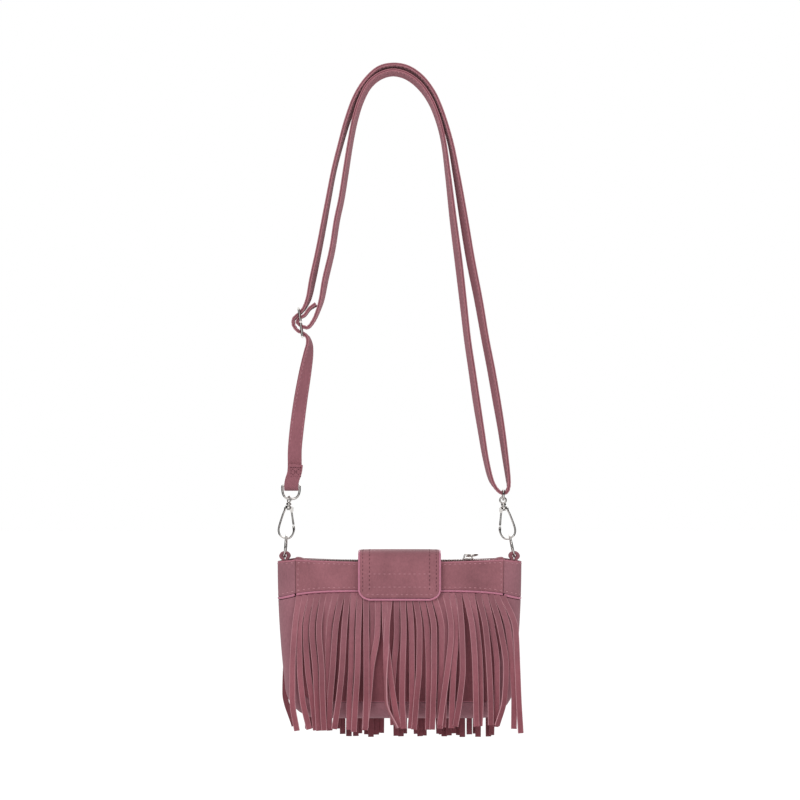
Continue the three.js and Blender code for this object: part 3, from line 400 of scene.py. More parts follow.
def suede(name, color, patch=0.14, use_painted_strip_shade=False, low=None):
    material, tree, skin, place = shader(name, roughness=0.95)
    patches = span(tree, noise(tree, place, 26, 4.0), 1 - patch, 1 + patch)
    fibres = span(tree, noise(tree, place, 700, 3.0, (1, 1, 0.55)), 0.92, 1.08)
    factor = multiply(tree, patches, fibres)
    # Each fringe strip's own factor: painted shade, a little lighter or darker per strip.
    if use_painted_strip_shade:
        own = tree.nodes.new("ShaderNodeAttribute")
        own.attribute_name = "tone"
        factor = multiply(tree, factor, own.outputs["Fac"])
    tinted = tint(tree, color, factor, skin.inputs["Base Color"])
    if low:
        blend_down(tree, place, color, low, tinted.inputs[0], -0.45, -0.54)
    skin.inputs["Sheen Weight"].default_value = 0.12
    skin.inputs["Sheen Roughness"].default_value = 0.5
    skin.inputs["Specular IOR Level"].default_value = 0.15
    bump(tree, skin, noise(tree, place, 1400, 4.0), 0.00025)
    return material


# %% Skin, metal and woven tape
def skin_of(name, color, roughness, grain=300, depth=0.0001, change=0.08):
    """A smooth skin, cord or thread with a little grain."""
    material, tree, skin, place = shader(name, roughness)
    level = noise(tree, place, grain, 3.0)
    tint(tree, color, span(tree, level, 1 - change, 1 + change), skin.inputs["Base Color"])
    skin.inputs["Specular IOR Level"].default_value = 0.3
    bump(tree, skin, level, depth)
    return material


def metal(name, color, roughness):
    material, tree, skin, place = shader(name, roughness, 1.0)
    cast = noise(tree, place, 120, 2.0)
    tint(tree, color, span(tree, cast, 0.96, 1.04), skin.inputs["Base Color"])
    marks = span(tree, noise(tree, place, 300, 3.0), roughness * 0.8, roughness * 1.3)
    tree.links.new(marks, skin.inputs["Roughness"])
    return material


def weave(name, color):
    """Woven tape: fine ribs across it."""
    material, tree, skin, place = shader(name, 0.85)
    ribs = tree.nodes.new("ShaderNodeTexWave")
    ribs.inputs["Scale"].default_value = 380
    ribs.inputs["Distortion"].default_value = 0.6
    tree.links.new(place, ribs.inputs["Vector"])
    tint(tree, color, span(tree, ribs.outputs["Fac"], 0.8, 1.1, 0, 1), skin.inputs["Base Color"])
    bump(tree, skin, ribs.outputs["Fac"], 0.00015)
    return material


# %% Finishes of this bag
SUEDE = suede("suede", linear(150, 98, 106), 0.2)
# Gusset and end bands: the same suede, drawn a little lighter and greyer as painted light for faces turned
# to the side.
SIDE_SUEDE = suede("gusset suede", linear(150, 102, 111), 0.1)
# The panels are drawn darker than the band: painted shade for where they show between the strips.
PANEL_SUEDE_IN_SHADE = suede("panel suede", linear(132, 77, 85))
STRIP_SUEDE = suede("strip suede", linear(151, 99, 108), 0.12, use_painted_strip_shade=True, low=linear(144, 84, 93))
# Back strips: the same leather as the front strips, drawn darker as painted shade.
BACK_SUEDE_IN_SHADE = suede("back strip suede", linear(128, 72, 80), 0.1, use_painted_strip_shade=True)
STRAP_SUEDE = suede("strap suede", linear(148, 95, 104), 0.08)
# Front strips' cut edges: paler cut leather, brightened further as a painted highlight.
CUT_EDGE_AND_HIGHLIGHT = skin_of("cut edge", linear(190, 138, 146), 0.9, 900)
# Cut edges of the back strips, drawn darker as painted shade.
BACK_EDGE_IN_SHADE = skin_of("back cut edge", linear(134, 78, 86), 0.9, 900)
EDGE_PALE = skin_of("sealed strap edge", linear(166, 108, 116), 0.6)
EDGE_DARK = skin_of("strap core", linear(112, 56, 70), 0.7)
PINK = skin_of("piping skin", linear(190, 122, 143), 0.45, 420, 0.00012)
RIM = skin_of("band rim", linear(172, 108, 122), 0.7, 500)
THREAD = skin_of("thread", linear(192, 138, 148), 0.6)
DARK_THREAD = skin_of("dark thread", linear(98, 52, 62), 0.7)
NICKEL = metal("dark nickel", linear(228, 224, 220), 0.1)
TOOTH = metal("tooth metal", linear(170, 165, 160), 0.25)
LINING = skin_of("lining cloth", linear(92, 48, 58), 0.85, 1200)
TAPE = weave("zip tape", linear(112, 62, 72))
CLOSURE = skin_of("closure pile", linear(70, 34, 42), 1.0, 2200, 0.0004, 0.3)
print(len(bpy.data.materials), "materials")

# %% [markdown]
# ## Panels, gusset and band
# The front and back panels are cut flat and take their bulge from the lining and what
# is in the bag. A single strip runs down one side, under the base and up the other; it
# is drawn a little lighter and greyer than the band, painted light for the same suede
# turned to the side. The band round the top is four pieces, two wide and two short ones round the ends.

# %% Front and back
BAND_LAP = 0.25


def face_patch(side, depths, columns, offset=0.0, thickness=LEATHER):
    """A sheet on one face; each row has its depth and its share of the corners' drop."""
    def point(depth, share, a, out):
        x = a * seam_x(depth + share * CORNER_FALL)
        return face_point(side, x, depth + share * corner_drop(x), out)

    def grid(out):
        return [[point(depth, share, a, out) for a in np.linspace(-1, 1, columns)]
                for depth, share in depths]
    return grid(offset), grid(offset - thickness)


def rimmed(name, outer, inner, material, row=0):
    """A sheet with a paler line along one edge: between the given row and the next."""
    points, faces = shell_parts(outer, inner)
    cols = len(outer[0])
    line = set(range(row * cols, (row + 2) * cols))
    rim = [1 if line.issuperset(face) else 0 for face in faces]
    return make(name, points, faces, [material, RIM], index=rim)


panel_depths = [(panel_top() * (1 - f) + LOW_CORNER * f, 1 - f) for f in np.linspace(0, 1, 28)]
corner_turns = np.radians((10, 20, 30, 40, 50, 60, 68, 73, 90))
panel_depths += [(LOW_CORNER + CORNER * math.sin(a), 0) for a in corner_turns]
band_rows = [0, 0.04] + list(np.linspace(0.1, 1, 11))
band_depths = [(f * (BAND + BAND_LAP), f) for f in band_rows]
for label, side in (("front", -1), ("back", 1)):
    outer, inner = face_patch(side, panel_depths, 60)
    piece = rimmed(label + "_panel_suede", outer, inner, PANEL_SUEDE_IN_SHADE, row=len(panel_depths) - 2)
    carry(piece, nodes=[label + "_panel"])
    outer, inner = face_patch(side, band_depths, 70)
    piece = rimmed(label + "_band", outer, inner, SUEDE)
    carry(piece, nodes=[label + "_yoke"])
print("each panel has", len(panel_depths), "rows, each band", len(band_depths))

# %% Sides and gusset
AROUND_SIDE = np.linspace(-90, 90, 32)


def band_grid(side, inset):
    return [[side_point(side, f * (BAND + BAND_LAP + side_drop(a)), a, inset) for a in AROUND_SIDE]
            for f in band_rows]


for label, side in (("left", -1), ("right", 1)):
    piece = rimmed(label + "_end_band", band_grid(side, 0), band_grid(side, LEATHER), SIDE_SUEDE)
    carry(piece, nodes=[label + "_side_yoke"])


def gusset_point(side, fraction, turn, angle, inset):
    a = math.radians(angle)
    t = panel_top(side_drop(angle)) * (1 - fraction) + LOW_CORNER * fraction
    if turn == 0:
        return side_point(side, t, angle, inset)
    reach = CORNER + GAP + (GUSSET_BULGE - inset) * math.cos(a)
    turned = math.radians(turn)
    x = seam_x(LOW_CORNER) - CORNER + reach * math.cos(turned)
    z = -(LOW_CORNER + reach * math.sin(turned))
    return np.array([side * x, (half_depth(t) - inset) * math.sin(a), z])


def gusset_grid(inset):
    stations = [(f, 0) for f in np.linspace(0, 1, 22)] + [(1, a) for a in np.linspace(9, 90, 10)]
    left = [[gusset_point(-1, f, turn, a, inset) for a in AROUND_SIDE] for f, turn in stations]
    right = [[gusset_point(1, f, turn, a, inset) for a in AROUND_SIDE] for f, turn in stations][::-1]
    between = np.linspace(0, 1, 30)[1:-1]
    base = [[p * (1 - f) + q * f for p, q in zip(left[-1], right[0])] for f in between]
    return left + base + right


piece = shell("gusset_suede_strip", gusset_grid(0), gusset_grid(LEATHER), [SIDE_SUEDE])
carry(piece, nodes=["gusset_strip"])
print("gusset is", round(2 * BASE_HALF_DEPTH), "mm wide under the base")

# %% [markdown]
# ## Lining, tapes and small hidden pieces
# These show only through the top of the bag and under the lifted tab. The model's own
# pieces serve, with a cloth or pile on them and their shading made smooth.

# %% Pieces carried over
for node, material in (
    ("lining", LINING), ("zip_tape_front", TAPE), ("zip_tape_back", TAPE),
    ("closing_tab_hook_tape", CLOSURE), ("yoke_loop_tape", CLOSURE),
):
    mesh = frame["nodes"][node].data
    mesh.materials.clear()
    mesh.materials.append(material)
    mesh.shade_smooth()
    mesh.set_sharp_from_angle(angle=math.radians(35))
    print(node, "keeps", len(mesh.polygons), "faces")

# %% [markdown]
# ## Piping
# A cord wrapped in a thin pink skin is caught in the seam under the band. It shows as a
# fine raised line that also tells where the fringe starts. It is drawn through points of
# the seam itself.

# %% Piping under the band
PROUD = 0.5


def bead(path, radius=PIPE_SKIN, sides=14):
    """A round bar with slightly drawn-in ends."""
    size = np.full(len(path), radius)
    size[0] = size[-1] = radius * 0.8
    return swept_parts(round_rings(path, size, sides))


reach = seam_x(seam_depth(CORNER_FALL)) - 0.3
for label, side in (("front", -1), ("back", 1)):
    path = [face_point(side, x, seam_depth(corner_drop(x)), PROUD - PIPE_SKIN)
            for x in np.linspace(-reach, reach, 120)]
    carry(make(label + "_piping_skin", *bead(path), [PINK]), nodes=[label + "_piping"])
for label, side in (("left", -1), ("right", 1)):
    path = [side_point(side, seam_depth(side_drop(a)), a, PIPE_SKIN - PROUD)
            for a in np.linspace(-88, 88, 40)]
    carry(make(label + "_piping_skin", *bead(path), [PINK]), nodes=[label + "_side_piping"])
print("front and back piping are", round(2 * reach), "mm wide")

# %% [markdown]
# ## Fringe
# The fringe is a strip of suede with slits cut up into it, sewn in under the piping.
# Every strip between two slits hangs by itself: some lean on their neighbours, some
# cross them and one has curled edge-on. Each row of the table says how far one front
# strip has swung sideways at three depths and at its end, at which depth it ends, which
# layer it lies in, and how many degrees it has turned about its own length. The strips of
# the back are alike, so a formula and their ends' swing are enough for them.

# %% How each strip hangs
STRIPS = 34
STRIP_THICK = 1.2
RIGHT_SPREAD = 2.6
SWING_DEPTHS = (57, 89, 116)
EDGE_ON, CURL_FROM = 60, 60
FRONT_SWING = [
    (-3.4, -5.1, -5.2, -1.3, 142.6, 2, 8), (-4.8, -4.3, -2.0, 3.6, 141.6, 1, -12),
    (-4.4, -2.8, 1.0, 4.2, 142.6, 0, 5), (-4.2, -1.5, 0.0, 1.5, 142.6, 1, -6),
    (-3.5, -1.1, -0.3, 1.0, 142.1, 2, 4), (-4.9, -4.4, -3.3, -2.0, 141.6, 0, 10),
    (-5.3, -6.4, -6.4, -4.8, 142.6, 0, -8), (-5.1, -7.3, -9.4, -10.5, 140.6, 1, 6),
    (-2.8, -4.7, -7.6, -11.3, 140.6, 2, -10), (-1.6, -2.1, -3.4, -4.0, 141.6, 0, 12),
    (-1.2, -1.9, -3.5, -5.1, 143.1, 2, -5), (0.4, 0.6, 0.6, -0.1, 139.6, 2, 7),
    (0.7, -2.5, -5.0, -6.3, 142.1, 0, -6), (-0.5, -5.6, -8.0, -11.0, 141.1, 1, 9),
    (1.0, 4.3, 8.0, 12.1, 139.6, 2, -8), (-3.0, -3.6, -3.0, 6.5, 139.1, 3, 66),
    (0.3, -2.4, -4.0, -3.0, 137.6, 0, -10), (0.9, 0.0, -0.3, 1.0, 140.1, 2, 5),
    (2.3, 2.8, 3.0, 1.7, 140.6, 0, 10), (4.0, 3.5, 1.2, -0.8, 141.1, 1, -7),
    (5.2, 6.6, 6.5, 6.1, 141.6, 0, 6), (5.9, 6.0, 5.2, 4.2, 141.1, 2, -5),
    (7.2, 7.0, 6.1, 5.8, 140.6, 0, 8), (6.5, 5.0, 4.0, 3.0, 139.6, 0, -9),
    (5.0, 2.0, -1.8, -4.6, 137.6, 2, 12), (4.0, 1.8, 0.5, -0.2, 140.1, 1, -6),
    (3.5, 4.3, 1.8, -1.9, 138.6, 2, 9), (7.5, 9.6, 10.2, 10.6, 138.6, 2, -8),
    (6.3, 9.0, 9.4, 8.6, 138.6, 0, 14), (8.5, 11.0, 12.2, 12.4, 137.6, 2, -10),
    (9.0, 13.0, 13.0, 12.0, 139.6, 0, 20), (10.5, 15.0, 13.5, 7.3, 138.1, 2, -24),
    (12.0, 15.2, 17.0, 16.8, 141.1, 1, 16), (13.0, 14.4, 15.4, 17.1, 144.6, 2, -12),
]
BACK_ENDS = [
    -6, 1, -1, 2, 0, -2, 1, 0, 0, 1, -1, 0, -1.5, -2, -3, 5, 4, 1.5, 7, 5, 3, 11, 8, 5, 4, 3, 2,
    0, 1, 1, -2, 2, -1, -6,
]


def back_swing(i):
    end = BACK_ENDS[i]
    length = 147.0 if i < 7 else 153.0 + 1.5 * math.sin(i * 1.7)
    if i == 0:
        return (-9.0, -13.0, -14.0, -6.0, 145.0, 2, -20)
    return (end * 0.25, end * 0.6, end * 0.85, end, length, (i * 7) % 3, 12 * math.sin(i * 2.1))


back_swings = [back_swing(i) for i in range(STRIPS)]
print(len(FRONT_SWING), "front strips,", len(back_swings), "back strips")


# %% Swing and turn of a strip
def settle(start, depths, values):
    """Smooth values between the few known depths, without overshoot."""
    knots = np.array([start] + list(depths))
    known = np.array([0.0] + list(values))
    steps = np.diff(known) / np.diff(knots)
    slope = np.zeros(len(knots))
    slope[0], slope[-1] = 1.1 * steps[0], steps[-1]
    for k in range(1, len(knots) - 1):
        if steps[k - 1] * steps[k] > 0:
            slope[k] = 2 * steps[k - 1] * steps[k] / (steps[k - 1] + steps[k])

    def at(t):
        k = int(np.clip(np.searchsorted(knots, t) - 1, 0, len(knots) - 2))
        w = knots[k + 1] - knots[k]
        u = min(max((t - knots[k]) / w, 0.0), 1.0)
        a, b = 2 * u**3 - 3 * u**2 + 1, u**3 - 2 * u**2 + u
        c, d = -2 * u**3 + 3 * u**2, u**3 - u**2
        return a * known[k] + b * w * slope[k] + c * known[k + 1] + d * w * slope[k + 1]
    return at


def strip_turn(turn, t, slit, end):
    """How far a strip has turned at a depth; the curled one turns sooner."""
    if abs(turn) < EDGE_ON:
        return math.radians(turn) * smooth((t - slit) / (end - slit))
    return math.radians(turn) * smooth((t - CURL_FROM) / 45)


curled = max(FRONT_SWING, key=lambda row: abs(row[6]))
print("the curled strip turns by", curled[6], "degrees")


# %% One strip
def strip_mesh(side, i, swing):
    """One strip with its two faces and its cut edges in their own finish: on the front strips, paler cut
    leather with a painted highlight.
    """
    *swings, end, layer, turn = swing
    pitch = (2 * seam_x(panel_top()) - GAP) / STRIPS
    x0 = (i - (STRIPS - 1) / 2) * pitch
    top = panel_top(corner_drop(x0)) - 0.35
    spread = RIGHT_SPREAD * smooth((x0 - 20) / 66) if side < 0 else 0
    x0 += spread
    slit = top + 2.5 + 4.0 * (0.5 + 0.5 * math.sin(i * 2.7 + side))
    sway = settle(top + 1.0, (*SWING_DEPTHS, end), [swung - spread for swung in swings])
    depths = list(np.linspace(top, slit, 4)) + list(np.linspace(slit + 2, end, 32))
    path = []
    deepest = 0.0
    for t in depths:
        x = x0 + sway(t)
        held = min(t, LOW_CORNER)
        deepest = max(deepest, face_y(min(abs(x), seam_x(held)), held))
        loose = smooth((t - slit) / 22)
        out = 0.35 + loose * (0.3 + 1.55 * layer + 0.35 * math.sin(t * 0.07 + i * 1.3))
        out += 0.12 * layer * smooth((t - top) / 6)
        path.append([x, side * (deepest + out), -t])
    path = np.array(path)
    along = np.gradient(path, axis=0)
    along /= np.linalg.norm(along, axis=1)[:, None]
    rings = []
    for p, tangent, t in zip(path, along, depths):
        loose = smooth((t - top) / 8)
        angle = strip_turn(turn, t, slit, end)
        wide = np.array([math.cos(angle), side * math.sin(angle), 0.0])
        wide = wide - tangent * np.dot(wide, tangent)
        wide /= np.linalg.norm(wide)
        thick = np.cross(tangent, wide)
        if thick[1] * side < 0:
            thick = -thick
        half = pitch / 2 - 0.14 * loose
        b = 0.05 + 0.38 * loose
        h = STRIP_THICK
        lift = abs(math.sin(angle)) * half
        p = p + np.array([0, side * lift, 0])
        outline = [(-half, b), (-half + b, 0), (half - b, 0), (half, b),
                   (half, h - b), (half - b, h), (-half + b, h), (-half, h - b)]
        rings.append([p + wide * u + thick * v for u, v in outline])
    points, faces = swept_parts(rings)
    index = [0 if j in (1, 5) else 1 for _ in range(len(rings) - 1) for j in range(8)] + [1, 1]
    return points, faces, index


# %% Both fringes
def fringe(name, side, swings, materials, seed):
    random = np.random.default_rng(seed)
    parts, index, tone = [], [], []
    for i, swing in enumerate(swings):
        points, faces, own = strip_mesh(side, i, swing)
        parts.append((points, faces))
        index += own
        # Painted shade: each strip drawn a little lighter or darker, as if by the angle at which it lies.
        tone += [0.84 + 0.26 * random.random()] * len(points)
    points, faces = merged(parts)
    return make(name, points, faces, materials, index=index, tone=tone, sharp=25)


front_fringe = fringe("front_fringe_suede", -1, FRONT_SWING, [STRIP_SUEDE, CUT_EDGE_AND_HIGHLIGHT], 5)
carry(front_fringe, nodes=["front_fringe"])
back_fringe = fringe("back_fringe_suede_strips", 1, back_swings, [BACK_SUEDE_IN_SHADE, BACK_EDGE_IN_SHADE], 8)
carry(back_fringe, nodes=["back_fringe"])

# %% [markdown]
# ## Closing tab
# The tab is sewn to the back of the band, comes over the zip and lies on the front. It is
# two layers of suede with a piped edge that binds its sides and its rounded front
# corners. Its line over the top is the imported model's. The part that is sewn down at the
# back isn't drawn, so the tab ends on the line that it swings about.

# %% Tab
TAB_HALF, TAB_PIPE, TAB_CORNER = 35.5, 1.1, 7.0
TAB_SKIN, TAB_BODY, TAB_SOFT = 1.0, 1.1, 0.35
TAB_REACH, TAPE_DEPTH, BOTH_TAPES = 32.4, 16.75, 2.0
LOW_Y = face_y(0, TAB_REACH) + GAP + STRIP_THICK + GAP + TAB_BODY
TAPE_Y = face_y(0, TAPE_DEPTH) + BOTH_TAPES + 3 * GAP + TAB_BODY
CROWN = 9.6 - TAB_BODY
TAB_END = TAB_REACH - 2 * TAB_PIPE - GAP
tab_line = through([
    [0, 15.2, TAB_BODY + GAP], [0, 14.6, CROWN - 3.6], [0, 10.7, CROWN - 0.4], [0, 4, CROWN],
    [0, -4, CROWN], [0, -11.5, CROWN - 0.6], [0, -16.1, CROWN - 3.6], [0, -TAPE_Y + 0.9, -3],
    [0, -TAPE_Y, -TAPE_DEPTH], [0, -LOW_Y, -TAB_END],
], 10)
steps = np.linalg.norm(np.diff(tab_line, axis=0), axis=1)
to_end = np.concatenate([np.cumsum(steps[::-1])[::-1], [0.0]])
tab_tangent = np.gradient(tab_line, axis=0)
tab_tangent /= np.linalg.norm(tab_tangent, axis=1)[:, None]
tab_out = np.stack([0 * tab_tangent[:, 0], tab_tangent[:, 2], -tab_tangent[:, 1]], axis=1)


def drawn_in(length, corner=TAB_CORNER):
    into = max(corner - length, 0.0)
    return corner - math.sqrt(max(corner**2 - into**2, 0.0))


def tab_grid(shift):
    half = TAB_HALF - 2 * TAB_PIPE + 0.25
    rows = []
    for p, out, left in zip(tab_line, tab_out, to_end):
        edge = half - drawn_in(left)
        row = []
        for a in np.linspace(-1, 1, 30):
            soft = TAB_SOFT * (1 - abs(a) ** 6) * min(left / 4, 1) * (1 if shift > 0 else 0)
            row.append(p + out * (shift + soft) + np.array([a * edge, 0, 0]))
        rows.append(row)
    return rows


tab = shell("closing_tab_suede", tab_grid(TAB_SKIN), tab_grid(-TAB_BODY), [SUEDE])
carry(tab, "tab_flap", ["closing_tab"])
print("tab is", round(float(steps.sum())), "mm long from its sewn edge to its front end")

# %% Piping of the tab
BOUND_CORNER = TAB_CORNER + 1.4
BOUND_SKIN = 1.0


def tab_edge_point(s, index):
    half = TAB_HALF - TAB_PIPE - drawn_in(to_end[index] + 1.0, BOUND_CORNER)
    return tab_line[index] + np.array([s * half, 0, 0])


left_edge = [tab_edge_point(-1, i) for i in range(len(tab_line))]
right_edge = [tab_edge_point(1, i) for i in range(len(tab_line))]
low_mid = tab_line[-1] + tab_tangent[-1] * 1.45
inner_half = TAB_HALF - TAB_PIPE - BOUND_CORNER
bottom = [low_mid + np.array([a * inner_half, 0, 0]) for a in np.linspace(-1, 1, 20)]
edge_path = np.array(left_edge + bottom + right_edge[::-1])
keep = [0]
for i in range(1, len(edge_path)):
    if np.linalg.norm(edge_path[i] - edge_path[keep[-1]]) > 0.7:
        keep.append(i)
edge_path = through(edge_path[keep], 2)
edge_tangent, _, _ = line_frames(edge_path)
nearest = [np.argmin(np.linalg.norm(tab_line[:, 1:] - p[1:], axis=1)) for p in edge_path]
outs = tab_out[nearest]
edge_other = np.cross(edge_tangent, outs)
angle = np.linspace(0, 2 * math.pi, 14, endpoint=False)
rings = edge_path[:, None] + BOUND_SKIN * (
    np.cos(angle)[None, :, None] * outs[:, None] + np.sin(angle)[None, :, None] * edge_other[:, None])
piece = make("tab_piping_skin", *swept_parts(rings), [PINK])
carry(piece, "tab_flap", ["closing_tab_piping"])
print("tab piping has", len(edge_path), "rings")

# %% [markdown]
# ## Zip
# Each tooth is a small metal block clamped over the edge of its tape. On a real zip the
# rows mesh behind the slider; here they stand a little apart all the way, so that the
# slider can run along them. The same repeat along a line later makes the stitches, so it
# is one node tree: it spaces points along a curve, puts a template piece on each one
# along the line, and realises the copies.

# %% Repeat along a line
def repeat_tree():
    tree = bpy.data.node_groups.new("Repeat along a line", "GeometryNodeTree")
    face = tree.interface
    for name, kind in (("Line", "NodeSocketGeometry"), ("Pitch", "NodeSocketFloat"),
                       ("Piece", "NodeSocketObject"), ("Material", "NodeSocketMaterial")):
        face.new_socket(name=name, in_out="INPUT", socket_type=kind)
    face.new_socket(name="Copies", in_out="OUTPUT", socket_type="NodeSocketGeometry")
    new = tree.nodes.new
    start, finish = new("NodeGroupInput"), new("NodeGroupOutput")
    spaced = new("GeometryNodeResampleCurve")
    spaced.mode = "LENGTH"
    tangent = new("GeometryNodeInputTangent")
    turn = new("FunctionNodeAlignRotationToVector")
    turn.axis = "X"
    info = new("GeometryNodeObjectInfo")
    put = new("GeometryNodeInstanceOnPoints")
    real = new("GeometryNodeRealizeInstances")
    paint = new("GeometryNodeSetMaterial")
    link = tree.links.new
    link(start.outputs["Line"], spaced.inputs["Curve"])
    link(start.outputs["Pitch"], spaced.inputs["Length"])
    link(spaced.outputs["Curve"], put.inputs["Points"])
    link(start.outputs["Piece"], info.inputs["Object"])
    link(info.outputs["Geometry"], put.inputs["Instance"])
    link(tangent.outputs["Tangent"], turn.inputs["Vector"])
    link(turn.outputs["Rotation"], put.inputs["Rotation"])
    link(put.outputs["Instances"], real.inputs["Geometry"])
    link(real.outputs["Geometry"], paint.inputs["Geometry"])
    link(start.outputs["Material"], paint.inputs["Material"])
    link(paint.outputs["Geometry"], finish.inputs["Copies"])
    return tree


REPEAT = repeat_tree()
print("repeat tree has", len(REPEAT.nodes), "nodes")


# %% Copies along a line
def repeat(name, lines, pitch, template, material, shift=BAG):
    """Copies of the template along every line, as one plain mesh."""
    curve = bpy.data.curves.new(name, "CURVE")
    curve.dimensions = "3D"
    for line in lines:
        spline = curve.splines.new("POLY")
        spline.points.add(len(line) - 1)
        for point, p in zip(spline.points, line):
            point.co = (*((np.asarray(p) + shift) * MM), 1.0)
    rail = bpy.data.objects.new(name + "_line", curve)
    bpy.context.scene.collection.objects.link(rail)
    modifier = rail.modifiers.new("Repeat", "NODES")
    modifier.node_group = REPEAT
    sockets = REPEAT.interface.items_tree
    keys = {item.name: item.identifier for item in sockets if item.in_out == "INPUT"}
    modifier[keys["Pitch"]] = pitch * MM
    modifier[keys["Piece"]] = template
    modifier[keys["Material"]] = material
    depsgraph = bpy.context.evaluated_depsgraph_get()
    mesh = bpy.data.meshes.new_from_object(rail.evaluated_get(depsgraph), depsgraph=depsgraph)
    bpy.data.objects.remove(rail)
    mesh.shade_smooth()
    mesh.set_sharp_from_angle(angle=math.radians(40))
    obj = bpy.data.objects.new(name, mesh)
    bpy.context.scene.collection.objects.link(obj)
    return obj


# %% Templates to copy
def capsule(length, radius):
    """One stitch: a short thread that dips in at both ends."""
    along = np.linspace(-1, 1, 7)
    path = [[u * length / 2, 0, 0] for u in along]
    size = [radius * max(math.sqrt(max(1 - u**4, 0)), 0.3) for u in along]
    points, faces = swept_parts(round_rings(path, size, 6, up=(0, 0, 1)))
    return make("stitch_template", points, faces, [], sharp=60, shift=np.zeros(3))


def block(length, width, height, bevel=0.15):
    """A small block with its corners taken off."""
    a, b = length / 2, width / 2
    outline = [(-a + bevel, -b), (a - bevel, -b), (a, -b + bevel), (a, b - bevel),
               (a - bevel, b), (-a + bevel, b), (-a, b - bevel), (-a, -b + bevel)]
    rings = [[[x, y, z] for x, y in outline] for z in (-height / 2, height / 2)]
    points, faces = swept_parts(rings)
    return make("tooth_template", points, faces, [], sharp=30, shift=np.zeros(3))


# %% Zip teeth
ZIP_HALF, TOOTH_PITCH, TOOTH_WIDTH, TOOTH_HEIGHT = 78, 1.5, 2.7, 2.0
TAPE_TOP, TAPE_THICK = -0.9, 0.7
CHAIN_LOW = TAPE_TOP + GAP
CHAIN_TOP = CHAIN_LOW + TOOTH_HEIGHT
tooth = block(TOOTH_PITCH / 2, TOOTH_WIDTH, TOOTH_HEIGHT)
for label, side, offset in (("front", -1, 0.0), ("back", 1, TOOTH_PITCH / 2)):
    ends = (offset + 0.4 - ZIP_HALF, ZIP_HALF - 0.5)
    row = [[x, side * 1.95, CHAIN_LOW + TOOTH_HEIGHT / 2] for x in ends]
    piece = repeat(label + "_zip_teeth", [row], TOOTH_PITCH, tooth, TOOTH)
    carry(piece, nodes=["zip_teeth_" + label])
    print(label, "zip teeth:", len(piece.data.polygons), "faces")
bpy.data.objects.remove(tooth)


# %% Turned pieces, wire rings and plates
def lathe(profile, sides=28):
    """A turned piece: (radius, height) pairs about the upright line through zero."""
    angle = np.linspace(0, 2 * math.pi, sides, endpoint=False)
    return swept_parts([[[r * math.cos(a), r * math.sin(a), h] for a in angle] for r, h in profile])


def ring_parts(center, radius, wire, normal, sides=12, count=48):
    """A wire ring about a centre, square to the normal."""
    normal = np.asarray(normal, float) / np.linalg.norm(normal)
    first = np.cross(normal, [0.0, 0.0, 1.0] if abs(normal[2]) < 0.9 else [1.0, 0.0, 0.0])
    first /= np.linalg.norm(first)
    second = np.cross(normal, first)
    angle = np.linspace(0, 2 * math.pi, count, endpoint=False)
    path = [np.asarray(center) + radius * (math.cos(a) * first + math.sin(a) * second) for a in angle]
    return swept_parts(round_rings(path, wire, sides, closed=True, up=normal), closed=True)


def plate(x, length, width, low, high):
    """A thin plate with rounded corners, seen from above."""
    a, b, c = length / 2, width / 2, 1.6
    outline = []
    for right, far, start in ((1, 1, 0), (-1, 1, 90), (-1, -1, 180), (1, -1, 270)):
        for turn in np.radians(np.linspace(start, start + 90, 6)):
            outline.append((right * (a - c) + c * math.cos(turn), far * (b - c) + c * math.sin(turn)))
    rings = []
    for inset, z in ((0.3, low), (0, low + 0.3), (0, high - 0.3), (0.3, high)):
        rings.append([[x + u * (1 - inset / a), v * (1 - inset / b), z] for u, v in outline])
    return swept_parts(rings)


# %% Slider
SLIDER_X = ZIP_HALF - 19.1
PLATE_LENGTH, PLATE_WIDTH, PLATE_THICK = 9.5, 8.0, 1.1
BAIL_HEIGHT, BAIL_WALL, BAIL_WIRE = 3.4, 0.9, 0.7
top_low = CHAIN_TOP + GAP
top_high = top_low + PLATE_THICK
under_high = TAPE_TOP - TAPE_THICK - GAP
half_bail = [(1.3, 3.0), (2.5, 2.7), (3.3, 1.4), (3.35, -0.3)]
bail_outline = [(-u, w) for u, w in half_bail[::-1]] + half_bail
bail = through([[SLIDER_X + u, 0, top_high + w] for u, w in bail_outline], 6)
post = [[[SLIDER_X + u * 1.5, v * 0.25, z] for u, v in ((-1, -1), (1, -1), (1, 1), (-1, 1))]
        for z in (under_high - 0.2, top_low + 0.2)]
slider = merged([
    plate(SLIDER_X, PLATE_LENGTH, PLATE_WIDTH, top_low, top_high),
    plate(SLIDER_X, PLATE_LENGTH, PLATE_WIDTH, under_high - PLATE_THICK, under_high),
    swept_parts(post),
    swept_parts(round_rings(bail, BAIL_WIRE, 10)),
])
carry(make("zip_slider_metal", *slider, [NICKEL], sharp=35), "slider", ["zip_slider"])
print("slider stands", round(SLIDER_X, 1), "mm right of the middle")

# %% Ring pull
PULL_RADIUS, PULL_WIRE = 4.7, 0.85
turn, lean = math.radians(48), math.radians(12)
flat = np.array([math.sin(turn), -math.cos(turn), 0])
outwards = flat * math.cos(lean) + np.array([0, 0, math.sin(lean)])
hole = np.array([SLIDER_X, 0, top_high + (BAIL_HEIGHT - BAIL_WALL) / 2])
pull_normal = np.cross(outwards, (-math.cos(turn), -math.sin(turn), 0))
pull = ring_parts(hole + PULL_RADIUS * outwards, PULL_RADIUS, PULL_WIRE, pull_normal)
carry(make("zip_pull_ring", *pull, [NICKEL]), "pull", ["zip_pull"])
print("pull ring is", round(2 * (PULL_RADIUS + PULL_WIRE), 1), "mm across")

# %% [markdown]
# ## End tabs and side tabs
# The zip's raw ends are hidden in small folded pads of suede. A side tab is a strip of
# suede folded over its ring, so from the front it shows two soft lobes with a dark gap
# between them where the ring goes in.

